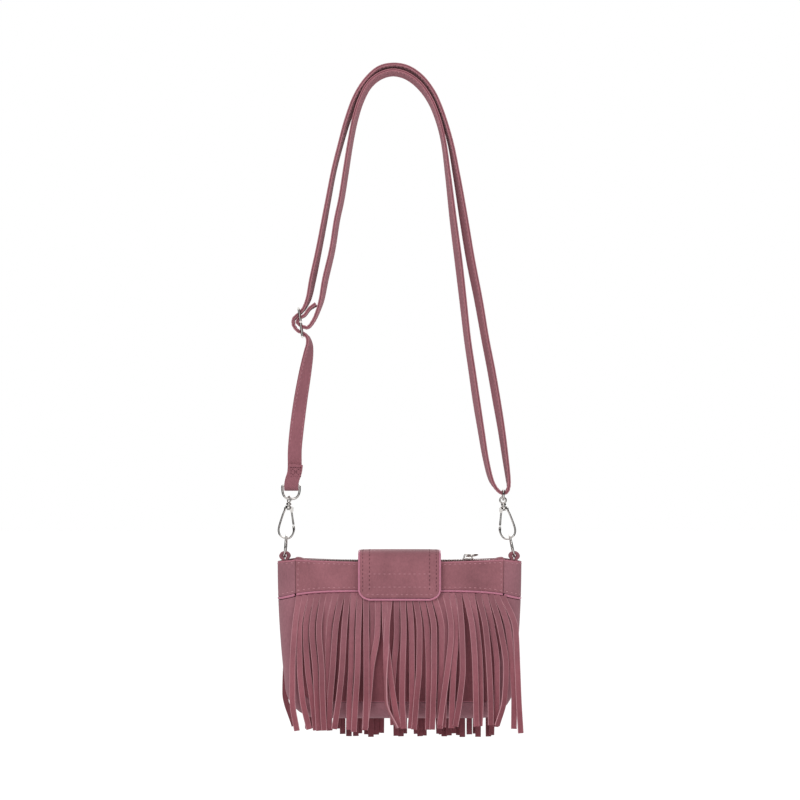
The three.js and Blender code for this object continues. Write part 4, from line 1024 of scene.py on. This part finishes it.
# %% End tabs of the zip
def pad(side):
    """A folded pad that thins towards the zip."""
    length, height, width = 12.0, 4.2, 13.0
    rings = []
    for u in np.linspace(0, 1, 22):
        rise = 0.3 + 0.7 * math.sin(min(u * 1.25, 1) * math.pi / 2)
        fall = 1 - 9.375 * max(u - 0.8, 0) ** 2
        top = height * rise * fall
        half = width / 2 - 0.5 * (1 - math.sin(math.pi * min(max(u, 0.05), 0.95)))
        ring = []
        for a in np.linspace(0, 2 * math.pi, 20, endpoint=False):
            y = half * math.copysign(abs(math.cos(a)) ** 0.5, math.cos(a))
            z = top / 2 + top / 2 * math.copysign(abs(math.sin(a)) ** 0.6, math.sin(a))
            ring.append([side * (ZIP_HALF + GAP + u * length), y, CHAIN_LOW + z])
        rings.append(ring)
    return swept_parts(rings)


for label, side in (("left", -1), ("right", 1)):
    carry(make(label + "_end_pad", *pad(side), [SUEDE]), nodes=["zip_end_tab_" + label])
print("end tabs reach from", round(ZIP_HALF + GAP, 1), "to", round(ZIP_HALF + GAP + 12, 1), "mm")

# %% Side tabs
SIDE_TAB_X = 98.5
SIDE_TAB_HALF_WIDTH, SIDE_TAB_HALF_WALL = 3.7, 1.3
RING_SEAT = 4.4
TAB_SECTION = [(-1, -0.5), (-0.93, -0.9), (-0.8, -1), (0.8, -1), (0.93, -0.9), (1, -0.5)]
TAB_SECTION += [(-u, -v) for u, v in TAB_SECTION]


def side_tab(side):
    leg, half_spread, top = 1.475, 3.6, 8.7 - SIDE_TAB_HALF_WALL
    right = [[leg, 0, -9], [leg, 0, -4.5], [leg + 0.1, 0, 1.5], [half_spread - 0.5, 0, 3.4],
             [half_spread, 0, 5], [half_spread * 0.66, 0, top - 0.7]]
    left = [[-x, y, z] for x, y, z in right][::-1]
    middle = side * SIDE_TAB_X
    path = through(right + [[0, 0, top]] + left, 8) + np.array([middle, 0, 0])
    tangent = np.gradient(path, axis=0)
    tangent /= np.linalg.norm(tangent, axis=1)[:, None]
    rings = []
    for p, t in zip(path, tangent):
        across = np.array([t[2], 0, -t[0]])
        beside = abs(p[0] - middle) - leg
        inner = SIDE_TAB_HALF_WALL + (0.75 * smooth(beside / 1.8) if p[2] > 0 else 0)
        ring = []
        for u, v in TAB_SECTION:
            inside = np.dot(across * v, [middle - p[0], 0, RING_SEAT - p[2]]) > 0
            wall = inner if inside else SIDE_TAB_HALF_WALL
            ring.append(p + across * v * wall + np.array([0, u * SIDE_TAB_HALF_WIDTH, 0]))
        rings.append(ring)
    return swept_parts(rings)


for label, side in (("left", -1), ("right", 1)):
    piece = make(label + "_ring_tab", *side_tab(side), [SUEDE], sharp=35)
    carry(piece, nodes=[label + "_side_tab"])
    print(piece.name, "has", len(piece.data.polygons), "faces")

# %% [markdown]
# ## Rings and snap hooks
# A snap hook is a cast hook on a turning eye. Its collar is drilled through for the
# eye's pin, which is headed over inside, and a sprung gate closes the gap from the
# collar to the hook's tip. No bore shows from outside, so here the collar and the gate's
# bearing are drawn solid and their pins run into them. Each hook is made in its own
# frame, with the eye's middle at zero, then leaned as the model leans it.

# %% Bag rings
RING_RADIUS, RING_WIRE = 9.4, 0.97
for label, side, lean in (("left", -1, 4), ("right", 1, -12)):
    a = math.radians(lean)
    low = np.array([side * SIDE_TAB_X, 0, 4.0])
    center = low + RING_RADIUS * np.array([math.sin(a), 0, math.cos(a)])
    ring = ring_parts(center, RING_RADIUS, RING_WIRE, (math.cos(a), 0, -math.sin(a)), 16, 64)
    piece = make(label + "_ring_wire", *ring, [NICKEL])
    carry(piece, label + "_ring", [label + "_bag_ring"])
    print(piece.name, "leans", lean, "degrees")

# %% Places and eyes of the snap hooks
HOOKS = {"left": ((-89.313, -365.981), -4.3, 1, 60), "right": ((94.530, -366.520), 7.5, -1, 0)}
EYE_RADIUS, EYE_WIRE = 2.6, 0.8
HOOK_WIRE = 0.88
PIVOT_X, PIVOT_Z = 2.9, -9.6
GATE_TIP = (5.45, -21.7)


def leaned(parts, tilt_deg):
    points, faces = parts
    a = math.radians(-tilt_deg)
    turn = np.array([[math.cos(a), 0, math.sin(a)], [0, 1, 0], [-math.sin(a), 0, math.cos(a)]])
    return np.asarray(points) @ turn.T, faces


def swivel_eye(turn):
    a = math.radians(turn)
    return merged([
        ring_parts((0, 0, 0), EYE_RADIUS, EYE_WIRE, (math.sin(a), math.cos(a), 0), 12, 36),
        lathe([(1.2, -2.5), (2.0, -2.7), (2.3, -3.1), (2.3, -4.5), (2.0, -4.9)]),
        lathe([(0.8, -4.6), (0.8, -8.6)], 14),
        lathe([(1.1, -8.3), (1.5, -8.5), (1.5, -9.0), (1.0, -9.2)], 16),
    ])


print("an eye is", 2 * (EYE_RADIUS + EYE_WIRE), "mm across")


# %% Hook body
def hook_wire(side):
    knots = [(-2.7, -7.0), (-3.0, -9.0), (-4.3, -13), (-5.6, -18), (-6.8, -23.5), (-7.0, -27.5), (-5.6, -31),
             (-3.0, -32.8), (0, -33.6), (3.0, -32.7), (5.2, -29.8), (6.0, -26), (5.45, -22.1)]
    spine = through([[x * side, 0, z] for x, z in knots], 6)
    size = np.full(len(spine), HOOK_WIRE)
    size[:8] = np.linspace(1.25, HOOK_WIRE, 8)
    size[-9:] = [HOOK_WIRE, 0.9, 0.98, 1.06, 1.12, 1.15, 1.12, 1.0, 0.7]
    return swept_parts(round_rings(spine, size, 12))


def cheek(side, y):
    """One of the two ears that hold the gate's pin."""
    outline = [(-1.3, 1.0), (1.3, 1.0), (1.3, -1.2)]
    outline += [(1.3 * math.cos(a), -2.05 + 1.2 * math.sin(a)) for a in np.linspace(0, -math.pi, 9)]
    outline += [(-1.3, -1.2)]
    rings = [[[(PIVOT_X + u) * side, y + w, -7.55 + v] for u, v in outline] for w in (-0.4, 0.4)]
    return swept_parts(rings)


def hook_body(side):
    collar = [(2.6, -5.25), (3.05, -5.5), (3.1, -6.0), (2.85, -6.5), (3.1, -7.0), (3.0, -7.7), (2.5, -7.95)]
    return merged([lathe(collar), hook_wire(side), cheek(side, 1.6), cheek(side, -1.6)])


# %% Gate and its pin
def about_pivot(side, rows, sides):
    """A turned piece on the gate's axis, from (radius, place along it) pairs."""
    angle = np.linspace(0, 2 * math.pi, sides, endpoint=False)
    return swept_parts([[[PIVOT_X * side + r * math.cos(b), y, PIVOT_Z + r * math.sin(b)] for b in angle]
                        for r, y in rows])


def gate_lever(side):
    start = np.array([PIVOT_X * side, 0, PIVOT_Z - 0.6])
    stop = np.array([GATE_TIP[0] * side, 0, GATE_TIP[1]])
    stem = [start + (stop - start) * f for f in np.linspace(0, 1, 12)]
    size = [0.75, 0.8, 0.8, 0.8, 0.8, 0.82, 0.85, 0.9, 0.92, 0.95, 0.9, 0.6]
    bearing = about_pivot(side, ((0.95, -0.85), (1.1, -0.7), (1.1, 0.7), (0.95, 0.85)), 20)
    return merged([swept_parts(round_rings(stem, size, 12)), bearing])


def gate_pin(side):
    return about_pivot(side, ((0.35, -2.02), (0.5, -1.9), (0.5, 1.9), (0.35, 2.02)), 16)


# %% Both snap hooks
for label, ((eye_x, eye_z), tilt, side, turn) in HOOKS.items():
    for name, parts, sharp, body, node in (
        ("_eye", swivel_eye(turn), 40, ROOT, "_swivel_eye"),
        ("_hook_casting", hook_body(side), 50, label + "_hook", "_hook_body"),
        ("_gate_lever", gate_lever(side), 40, label + "_gate", "_hook_gate"),
        ("_pin", gate_pin(side), 40, label + "_hook", "_gate_pin"),
    ):
        at = np.array([eye_x, 0, eye_z])
        piece = make(label + name, *leaned(parts, tilt), [NICKEL], sharp=sharp, shift=at)
        carry(piece, body, [label + node])
    print(label, "hook leans", tilt, "degrees")

# %% [markdown]
# ## Strap rings and slide
# The strap's two folds hold flat-topped rings, and the slide is a wire frame with three
# bars that the strap is woven round, which holds it by friction.

# %% Strap rings
STRAP_RING_WIDTH, STRAP_RING_WIRE = 15, 1.05


def bezier(a, b, c, d, count):
    """Points of a cubic curve, without its last one."""
    a, b, c, d = (np.array(p, float) for p in (a, b, c, d))
    return [(1 - u) ** 3 * a + 3 * (1 - u) ** 2 * u * b + 3 * (1 - u) * u**2 * c + u**3 * d
            for u in np.linspace(0, 1, count, endpoint=False)]


def strap_ring(width, height, x, z, turn):
    half, corner = width / 2, 1.6
    arch = height - corner
    path = bezier((-half + corner, 0), (-2, 0), (2, 0), (half - corner, 0), 16)
    path += bezier((half - corner, 0), (half, 0), (half, 0), (half, -corner), 8)
    path += bezier((half, -corner), (half, -arch), (half * 0.55, -height), (0, -height), 24)
    path += bezier((0, -height), (-half * 0.55, -height), (-half, -arch), (-half, -corner), 24)
    path += bezier((-half, -corner), (-half, 0), (-half, 0), (-half + corner, 0), 8)
    c, s = math.cos(turn), math.sin(turn)
    line = np.array([[u * c + x, u * s, v + z] for u, v in path])
    return swept_parts(round_rings(line, STRAP_RING_WIRE, 14, closed=True, up=(-s, c, 0)), closed=True)


ZERO = np.zeros(3)
SEAT = EYE_RADIUS - EYE_WIRE - STRAP_RING_WIRE - GAP
for label, x, z, turn in (("left", -87.7, -354.1, 0.0), ("right", 94.7, -357.9, math.pi / 2)):
    height = z - HOOKS[label][0][1] - SEAT
    ring = strap_ring(STRAP_RING_WIDTH, height, x, z, turn)
    piece = make(label + "_strap_loop", *ring, [NICKEL], shift=ZERO)
    carry(piece, nodes=[label + "_strap_ring"])
    print(piece.name, "is", round(height, 1), "mm high")

# %% Slide
SLIDE_WIRE = 1.0
SLIDE_HALF, BAR_REACH = 7.6, 8.6
low_bar, mid_bar, top_bar = (-77.7, -226.4), (-79.2, -213.4), (-80.9, -202.0)


def slide_bar(x, z):
    line = [[x, y, z] for y in np.linspace(-BAR_REACH, BAR_REACH, 10)]
    return swept_parts(round_rings(line, SLIDE_WIRE, 14, up=(0, 0, 1)))


def slide_post(y):
    rise = np.array([top_bar[0] - low_bar[0], 0, top_bar[1] - low_bar[1]])
    line = [np.array([low_bar[0], y, low_bar[1]]) + rise * f for f in np.linspace(-0.02, 1.02, 12)]
    return swept_parts(round_rings(line, SLIDE_WIRE, 14))


frame_parts = [slide_bar(*bar) for bar in (low_bar, mid_bar, top_bar)]
frame_parts += [slide_post(y) for y in (-SLIDE_HALF, SLIDE_HALF)]
piece = make("slide_frame", *merged(frame_parts), [NICKEL], shift=ZERO)
carry(piece, nodes=["strap_slide"])
print("slide is made of", len(frame_parts), "wires")

# %% [markdown]
# ## Strap
# The strap is two layers of suede glued back to back, cut and sealed along its edges, so
# its edge shows a pale line, a dark core and another pale line. It follows the packed
# model's route: from its sewn end round the left ring, up through the slide, over the
# top, round the right ring, over the top again and back to the slide's middle bar. The
# fourth number of each point is how far the strap has turned there, in degrees.

# %% Strap route
ROUTE = np.array([
    (-83.4, -1.6, -335.6, 90), (-84.3, -1.6, -342.0, 90), (-86.8, -2.4, -349.6, 90),
    (-87.5, -2.9, -354.3, 90), (-87.5, 0.0, -357.2, 90), (-87.5, 2.9, -354.3, 90),
    (-86.8, 2.4, -349.6, 90), (-84.9, 1.6, -342.0, 90),
    (-84.5, 0.8, -323.4, 88), (-82.9, 0.2, -306.2, 80), (-79.5, 0.0, -280.4, 64), (-75.2, 0.0, -254.6, 48),
    (-72.6, 0.0, -239.1, 30), (-72.0, 0.0, -232.2, 16), (-73.4, 0.0, -226.6, 4), (-77.4, 0.0, -222.9, 0),
    (-82.0, 0.0, -220.7, 0), (-85.4, 0.0, -216.0, 0), (-85.2, 0.0, -210.6, 0), (-80.9, 0.0, -206.5, 0),
    (-77.0, 0.0, -202.4, 2), (-72.7, 0.0, -193.5, 10), (-69.2, 0.0, -177.2, 16), (-63.8, 0.0, -151.4, 13),
    (-58.9, 0.0, -125.6, 12), (-55.7, 0.0, -108.4, 10), (-50.7, 0.0, -82.6, 9), (-45.2, 0.0, -61.1, 10),
    (-39.0, 0.0, -39.6, 14), (-31.0, 0.0, -18.9, 15), (-21.5, 0.0, -4.7, 15), (-11.2, 0.0, 3.9, 15),
    (0.4, 0.0, 6.3, 15), (12.0, 0.0, 4.3, 15), (23.2, 0.0, -3.0, 15), (32.7, 0.0, -14.6, 14),
    (39.5, 0.0, -28.0, 12), (48.8, 0.0, -56.8, 12), (54.6, 0.0, -86.9, 18), (61.0, 0.0, -125.6, 25),
    (66.7, 0.0, -160.0, 26),
    (73.5, 0.0, -194.4, 24), (79.5, 0.0, -228.8, 21), (84.5, 0.0, -254.6, 22), (89.0, 0.0, -280.4, 22),
    (93.3, 0.0, -306.2, 18), (96.9, 0.0, -332.0, 13), (99.1, 0.0, -349.2, 6), (99.4, 0.0, -354.8, 0),
    (98.0, 0.0, -358.9, 0), (94.6, 0.0, -360.6, 0), (91.0, 0.0, -358.9, 0), (87.5, 0.0, -354.8, 2),
    (84.4, 0.0, -349.2, 8), (80.0, 0.0, -332.0, 12), (75.7, 0.0, -306.2, 16), (71.6, 0.0, -280.4, 19),
    (67.9, 0.0, -254.6, 18), (64.1, 0.0, -228.8, 17), (60.2, 0.0, -194.4, 19), (56.2, 0.0, -160.0, 21),
    (51.8, 0.0, -125.6, 18), (47.3, 0.0, -86.9, 12), (43.2, 0.0, -56.8, 9), (38.3, 0.0, -37.8, 10),
    (31.8, 0.0, -22.4, 12), (23.2, 0.0, -10.3, 15), (12.0, 0.0, -1.7, 15), (0.0, 0.0, 1.3, 15),
    (-11.2, 0.0, -1.7, 15), (-20.6, 0.0, -9.5, 15), (-27.5, 0.0, -22.4, 14), (-32.8, 0.0, -39.6, 13),
    (-37.0, 0.0, -61.1, 12), (-40.4, 0.0, -82.6, 13), (-44.5, 0.0, -108.4, 13), (-48.2, 0.0, -125.6, 13),
    (-52.3, 0.0, -151.4, 13), (-58.3, 0.0, -177.2, 14), (-61.5, 0.0, -194.4, 10), (-64.5, 0.0, -203.8, 5),
    (-68.4, 0.0, -212.4, 2), (-73.5, 0.0, -218.2, 0), (-78.9, 0.0, -216.5, 0), (-82.1, 0.0, -213.6, 0),
    (-80.9, 0.0, -210.4, 0), (-76.1, 0.0, -207.7, 0), (-71.8, 0.0, -202.1, 2), (-66.0, 0.0, -198.1, 6),
])
LOOP_MIDDLE_X, LOOP_LOWEST = 3.0, -110.0
print("the route has", len(ROUTE), "points")


# %% Path of the strap
def centripetal(knots, count):
    """A smooth path that doesn't overshoot where the knots are unevenly spaced."""
    k = np.vstack([2 * knots[0] - knots[1], knots, 2 * knots[-1] - knots[-2]])
    out = []
    for i in range(1, len(k) - 2):
        p0, p1, p2, p3 = k[i - 1:i + 3]
        spans = ((p0, p1), (p1, p2), (p2, p3))
        d0, d1, d2 = (max(np.linalg.norm((b - a)[:3]) ** 0.5, 1e-4) for a, b in spans)
        m1 = ((p1 - p0) / d0 - (p2 - p0) / (d0 + d1) + (p2 - p1) / d1) * d1
        m2 = ((p2 - p1) / d1 - (p3 - p1) / (d1 + d2) + (p3 - p2) / d2) * d1
        for u in np.arange(count) / count:
            out.append((2 * u**3 - 3 * u**2 + 1) * p1 + (u**3 - 2 * u**2 + u) * m1
                       + (-2 * u**3 + 3 * u**2) * p2 + (u**3 - u**2) * m2)
    out.append(knots[-1])
    return np.array(out)


def strap_frames():
    line = centripetal(ROUTE, 6)
    path = line[:, :3]
    tangent = np.gradient(path, axis=0)
    tangent /= np.linalg.norm(tangent, axis=1)[:, None]
    wides, thicks = [], []
    for p, t, turn in zip(path, tangent, np.radians(line[:, 3])):
        inward = np.array([LOOP_MIDDLE_X - p[0], 0, min(LOOP_LOWEST - p[2], 0)])
        inward -= t * np.dot(inward, t)
        inward /= np.linalg.norm(inward)
        wide = np.array([0, math.cos(turn), 0]) + inward * math.sin(turn)
        wide -= t * np.dot(wide, t)
        wide /= np.linalg.norm(wide)
        thick = np.cross(wide, t)
        wides.append(wide)
        thicks.append(thick / np.linalg.norm(thick))
    return path, np.array(wides), np.array(thicks)


strap_path, strap_wide, strap_thick = strap_frames()
strap_length = float(np.linalg.norm(np.diff(strap_path, axis=0), axis=1).sum())
print("strap is", round(strap_length), "mm long")

# %% Strap band
HALF_STRAP, HALF_THICK = 6.0, 1.3
EDGE = [(HALF_STRAP - 0.25, -HALF_THICK), (HALF_STRAP, -1.05), (HALF_STRAP, -0.35), (5.9, -0.3),
        (5.9, 0.3), (HALF_STRAP, 0.35), (HALF_STRAP, 1.05), (HALF_STRAP - 0.25, HALF_THICK)]
SECTION = EDGE[-1:] + [(-u, -v) for u, v in EDGE] + EDGE[:-1]
SKIN = 2 * [0, 1, 1, 2, 2, 2, 1, 1]
rings = [[p + w * u + th * v for u, v in SECTION] for p, w, th in zip(strap_path, strap_wide, strap_thick)]
points, faces = swept_parts(rings)
index = [SKIN[j] for _ in range(len(rings) - 1) for j in range(len(SECTION))] + [1, 1]
strap_skins = [STRAP_SUEDE, EDGE_PALE, EDGE_DARK]
strap = make("strap_band", points, faces, strap_skins, index=index, sharp=30, shift=ZERO)
carry(strap, nodes=["strap"])
print("strap band has", len(faces), "faces")

# %% [markdown]
# ## Stitches
# Rows of thread hold the band's top edge, its seams and the strap's edges. The tab has a
# box of stitches where its closing tape is sewn on. Each row is one line on the surface,
# repeated with a short thread, and the box with a cross holds the strap's folded end.

# %% Stitches of the band
OUT = 0.05
TOP_ROW, LOW_ROW, SEAM_ROW = 2.2, 1.8, 86.8
stitch = capsule(2.1, 0.27)
bag_lines = []
across, around = np.linspace(-86, 86, 90), np.linspace(-80, 80, 30)
for side in (-1, 1):
    bag_lines.append([face_point(side, x, TOP_ROW, OUT) for x in across])
    bag_lines.append([face_point(side, x, BAND + corner_drop(x) - LOW_ROW, OUT) for x in across])
    for x in (-SEAM_ROW, SEAM_ROW):
        bag_lines.append([face_point(side, x, t, OUT) for t in np.linspace(3, BAND + 1, 12)])
    bag_lines.append([side_point(side, TOP_ROW, a, -OUT) for a in around])
    bag_lines.append([side_point(side, BAND + side_drop(a) - LOW_ROW, a, -OUT) for a in around])
bag_stitches = repeat("band_stitches", bag_lines, 4.3, stitch, THREAD)
carry(bag_stitches)
print("band:", len(bag_lines), "rows of stitches")


# %% Stitches of the tab
def tab_point(x, along):
    """A point on the tab's outer face, at a distance along from its front end."""
    i = int(np.argmin(np.abs(to_end - along)))
    soft = TAB_SOFT * (1 - abs(x / 33) ** 6) * min(to_end[i] / 4, 1)
    return tab_line[i] + tab_out[i] * (TAB_SKIN + soft + OUT) + np.array([x, 0, 0])


def tab_column(x, start, stop):
    return [tab_point(x, a) for a in np.linspace(start, stop, 24)]


OUTER_COLUMN, INNER_COLUMN, COLUMN_TOP = 31.4, 25.6, 66
tab_columns = [tab_column(x, 6, COLUMN_TOP) for x in (-OUTER_COLUMN, OUTER_COLUMN)]
tab_columns += [tab_column(x, 8, COLUMN_TOP) for x in (-INNER_COLUMN, INNER_COLUMN)]
tab_rows = [[tab_point(x, a) for x in np.linspace(-INNER_COLUMN, INNER_COLUMN, 14)] for a in (8.6, 20.8)]
tab_rows.append([tab_point(x, 2.3) for x in np.linspace(-27, 27, 14)])
tab_stitches = repeat("tab_column_stitches", tab_columns, 3.4, stitch, DARK_THREAD)
carry(tab_stitches, "tab_flap")
tab_row_stitches = repeat("tab_row_stitches", tab_rows, 4.0, stitch, THREAD)
carry(tab_row_stitches, "tab_flap")
print("tab:", len(tab_columns), "columns and", len(tab_rows), "rows of stitches")

# %% Stitches of the strap
SEWN_PART = slice(50, -20, 2)
STRAP_ROW = 4.6
sewn = list(zip(strap_path, strap_wide, strap_thick))[SEWN_PART]
strap_lines = []
for u in (-STRAP_ROW, STRAP_ROW):
    for v in (-1, 1):
        strap_lines.append([p + w * u + th * v * (HALF_THICK + OUT) for p, w, th in sewn])
small = capsule(2.2, 0.2)
strap_stitches = repeat("strap_stitches", strap_lines, 3.6, small, THREAD, shift=ZERO)
carry(strap_stitches)
print("strap:", len(strap_lines), "rows of stitches")

# %% Box of stitches on the strap's folded end
x0, x1, z0, z1 = -87.6, -79.6, -346.0, -338.4
front_y = ROUTE[0][1] - HALF_THICK - OUT - 0.1
corners = [np.array([x, front_y, z]) for x, z in ((x0, z0), (x1, z0), (x1, z1), (x0, z1))]
sides_and_cross = ((0, 1), (1, 2), (2, 3), (3, 0), (0, 2), (1, 3))
box_lines = [[corners[a] + (corners[b] - corners[a]) * f for f in (0, 0.5, 1)] for a, b in sides_and_cross]
box_stitches = repeat("strap_end_stitches", box_lines, 1.9, capsule(1.5, 0.3), DARK_THREAD, shift=ZERO)
carry(box_stitches)
for template in [o for o in bpy.data.objects if o.name.startswith("stitch_template")]:
    bpy.data.objects.remove(template)
stitched = (bag_stitches, tab_stitches, tab_row_stitches, strap_stitches, box_stitches)
print("stitch faces:", sum(len(piece.data.polygons) for piece in stitched))

# %% [markdown]
# ## Light and camera
# The bag hangs before a white ground in soft, even light from the front and above, with
# a lamp behind for its back. Two dark cards at the sides and one low in front show only
# in reflections, where they draw the dark lines that make polished nickel read as metal.
# The camera stands level, two metres away.

# %% World
world = bpy.data.worlds.new("white studio")
bpy.context.scene.world = world
world.use_nodes = True
sky = world.node_tree
ground = sky.nodes["Background"]
ground.inputs["Color"].default_value = (1, 1, 1, 1)
rays = sky.nodes.new("ShaderNodeLightPath")
seen = sky.nodes.new("ShaderNodeMath")
seen.operation = "MAXIMUM"
also = sky.nodes.new("ShaderNodeMath")
also.operation = "MAXIMUM"
sky.links.new(rays.outputs["Is Camera Ray"], seen.inputs[0])
sky.links.new(rays.outputs["Is Glossy Ray"], seen.inputs[1])
sky.links.new(seen.outputs[0], also.inputs[0])
sky.links.new(rays.outputs["Is Transmission Ray"], also.inputs[1])
level = sky.nodes.new("ShaderNodeMapRange")
level.inputs["To Min"].default_value = 0.62
level.inputs["To Max"].default_value = 1.0
sky.links.new(also.outputs[0], level.inputs["Value"])
sky.links.new(level.outputs["Result"], ground.inputs["Strength"])
print("world light:", round(level.inputs["To Min"].default_value, 2))

# %% Floor
FLOOR_HALF, FLOOR_Z = 4, -0.62
floor_mesh = bpy.data.meshes.new("floor")
floor_corners = [(x * FLOOR_HALF, y * FLOOR_HALF, FLOOR_Z) for x, y in ((-1, -1), (1, -1), (1, 1), (-1, 1))]
floor_mesh.from_pydata(floor_corners, [], [(0, 1, 2, 3)])
floor = bpy.data.objects.new("floor", floor_mesh)
bpy.context.scene.collection.objects.link(floor)
pale, tree, skin, _ = shader("pale floor", 0.9)
skin.inputs["Base Color"].default_value = (0.86, 0.86, 0.86, 1)
glow = tree.nodes.new("ShaderNodeEmission")
glow.inputs["Strength"].default_value = 1.08
view_ray = tree.nodes.new("ShaderNodeLightPath")
share = tree.nodes.new("ShaderNodeMath")
share.operation = "MULTIPLY"
share.inputs[1].default_value = 0.93
both = tree.nodes.new("ShaderNodeMixShader")
tree.links.new(view_ray.outputs["Is Camera Ray"], share.inputs[0])
tree.links.new(share.outputs[0], both.inputs["Fac"])
tree.links.new(skin.outputs["BSDF"], both.inputs[1])
tree.links.new(glow.outputs["Emission"], both.inputs[2])
tree.links.new(both.outputs["Shader"], tree.nodes["Material Output"].inputs["Surface"])
floor_mesh.materials.append(pale)
print("floor is", 2 * FLOOR_HALF, "m wide")


# %% Lamps
def lamp(name, place, target, size, power):
    light = bpy.data.lights.new(name, "AREA")
    light.size = size
    light.energy = power
    obj = bpy.data.objects.new(name, light)
    bpy.context.scene.collection.objects.link(obj)
    away = np.array(target, float) - np.array(place, float)
    flat = math.hypot(away[0], away[1])
    obj.location = place
    obj.rotation_euler = (math.atan2(flat, -away[2]), 0, math.atan2(away[1], away[0]) - math.pi / 2)
    return obj


lamp("key", (-1.1, -1.9, 0.9), (0, 0, -0.3), 1.2, 19)
lamp("fill", (1.5, -1.7, 0.1), (0, 0, -0.4), 1.4, 8)
lamp("back", (0.6, 1.9, 0.7), (0, 0, -0.35), 1.4, 17)
print(len(bpy.data.lights), "lamps")


# %% Dark cards
def card(name, corners):
    """A black card that shows only in reflections."""
    mesh = bpy.data.meshes.new(name)
    mesh.from_pydata(corners, [], [(0, 1, 2, 3)])
    obj = bpy.data.objects.new(name, mesh)
    bpy.context.scene.collection.objects.link(obj)
    dark, _, skin, _ = shader(name + " black", 0.9)
    skin.inputs["Base Color"].default_value = (0.01, 0.01, 0.01, 1)
    mesh.materials.append(dark)
    obj.visible_camera = obj.visible_diffuse = obj.visible_shadow = False


CARD_X = 0.42
for label, x in (("left", -CARD_X), ("right", CARD_X)):
    card(label + " card", [(x, -1.1, -1.0), (x, 0.3, -1.0), (x, 0.3, 0.4), (x, -1.1, 0.4)])
card("low card", [(-0.8, -1.4, -0.6), (0.8, -1.4, -0.6), (0.8, -0.5, -0.6), (-0.8, -0.5, -0.6)])
print("cards stand", CARD_X, "m to each side")

# %% Camera
AWAY, SENSOR, VIEW_WIDTH = 2.0, 36, 0.688
camera_data = bpy.data.cameras.new("camera")
camera_data.sensor_width = SENSOR
camera_data.lens = SENSOR * AWAY / VIEW_WIDTH
camera = bpy.data.objects.new("camera", camera_data)
bpy.context.scene.collection.objects.link(camera)
camera.location = (0.006, -AWAY, -0.2804)
camera.rotation_euler = (math.pi / 2, 0, 0)
bpy.context.scene.camera = camera
bpy.context.scene.view_settings.view_transform = "Standard"
save_size()
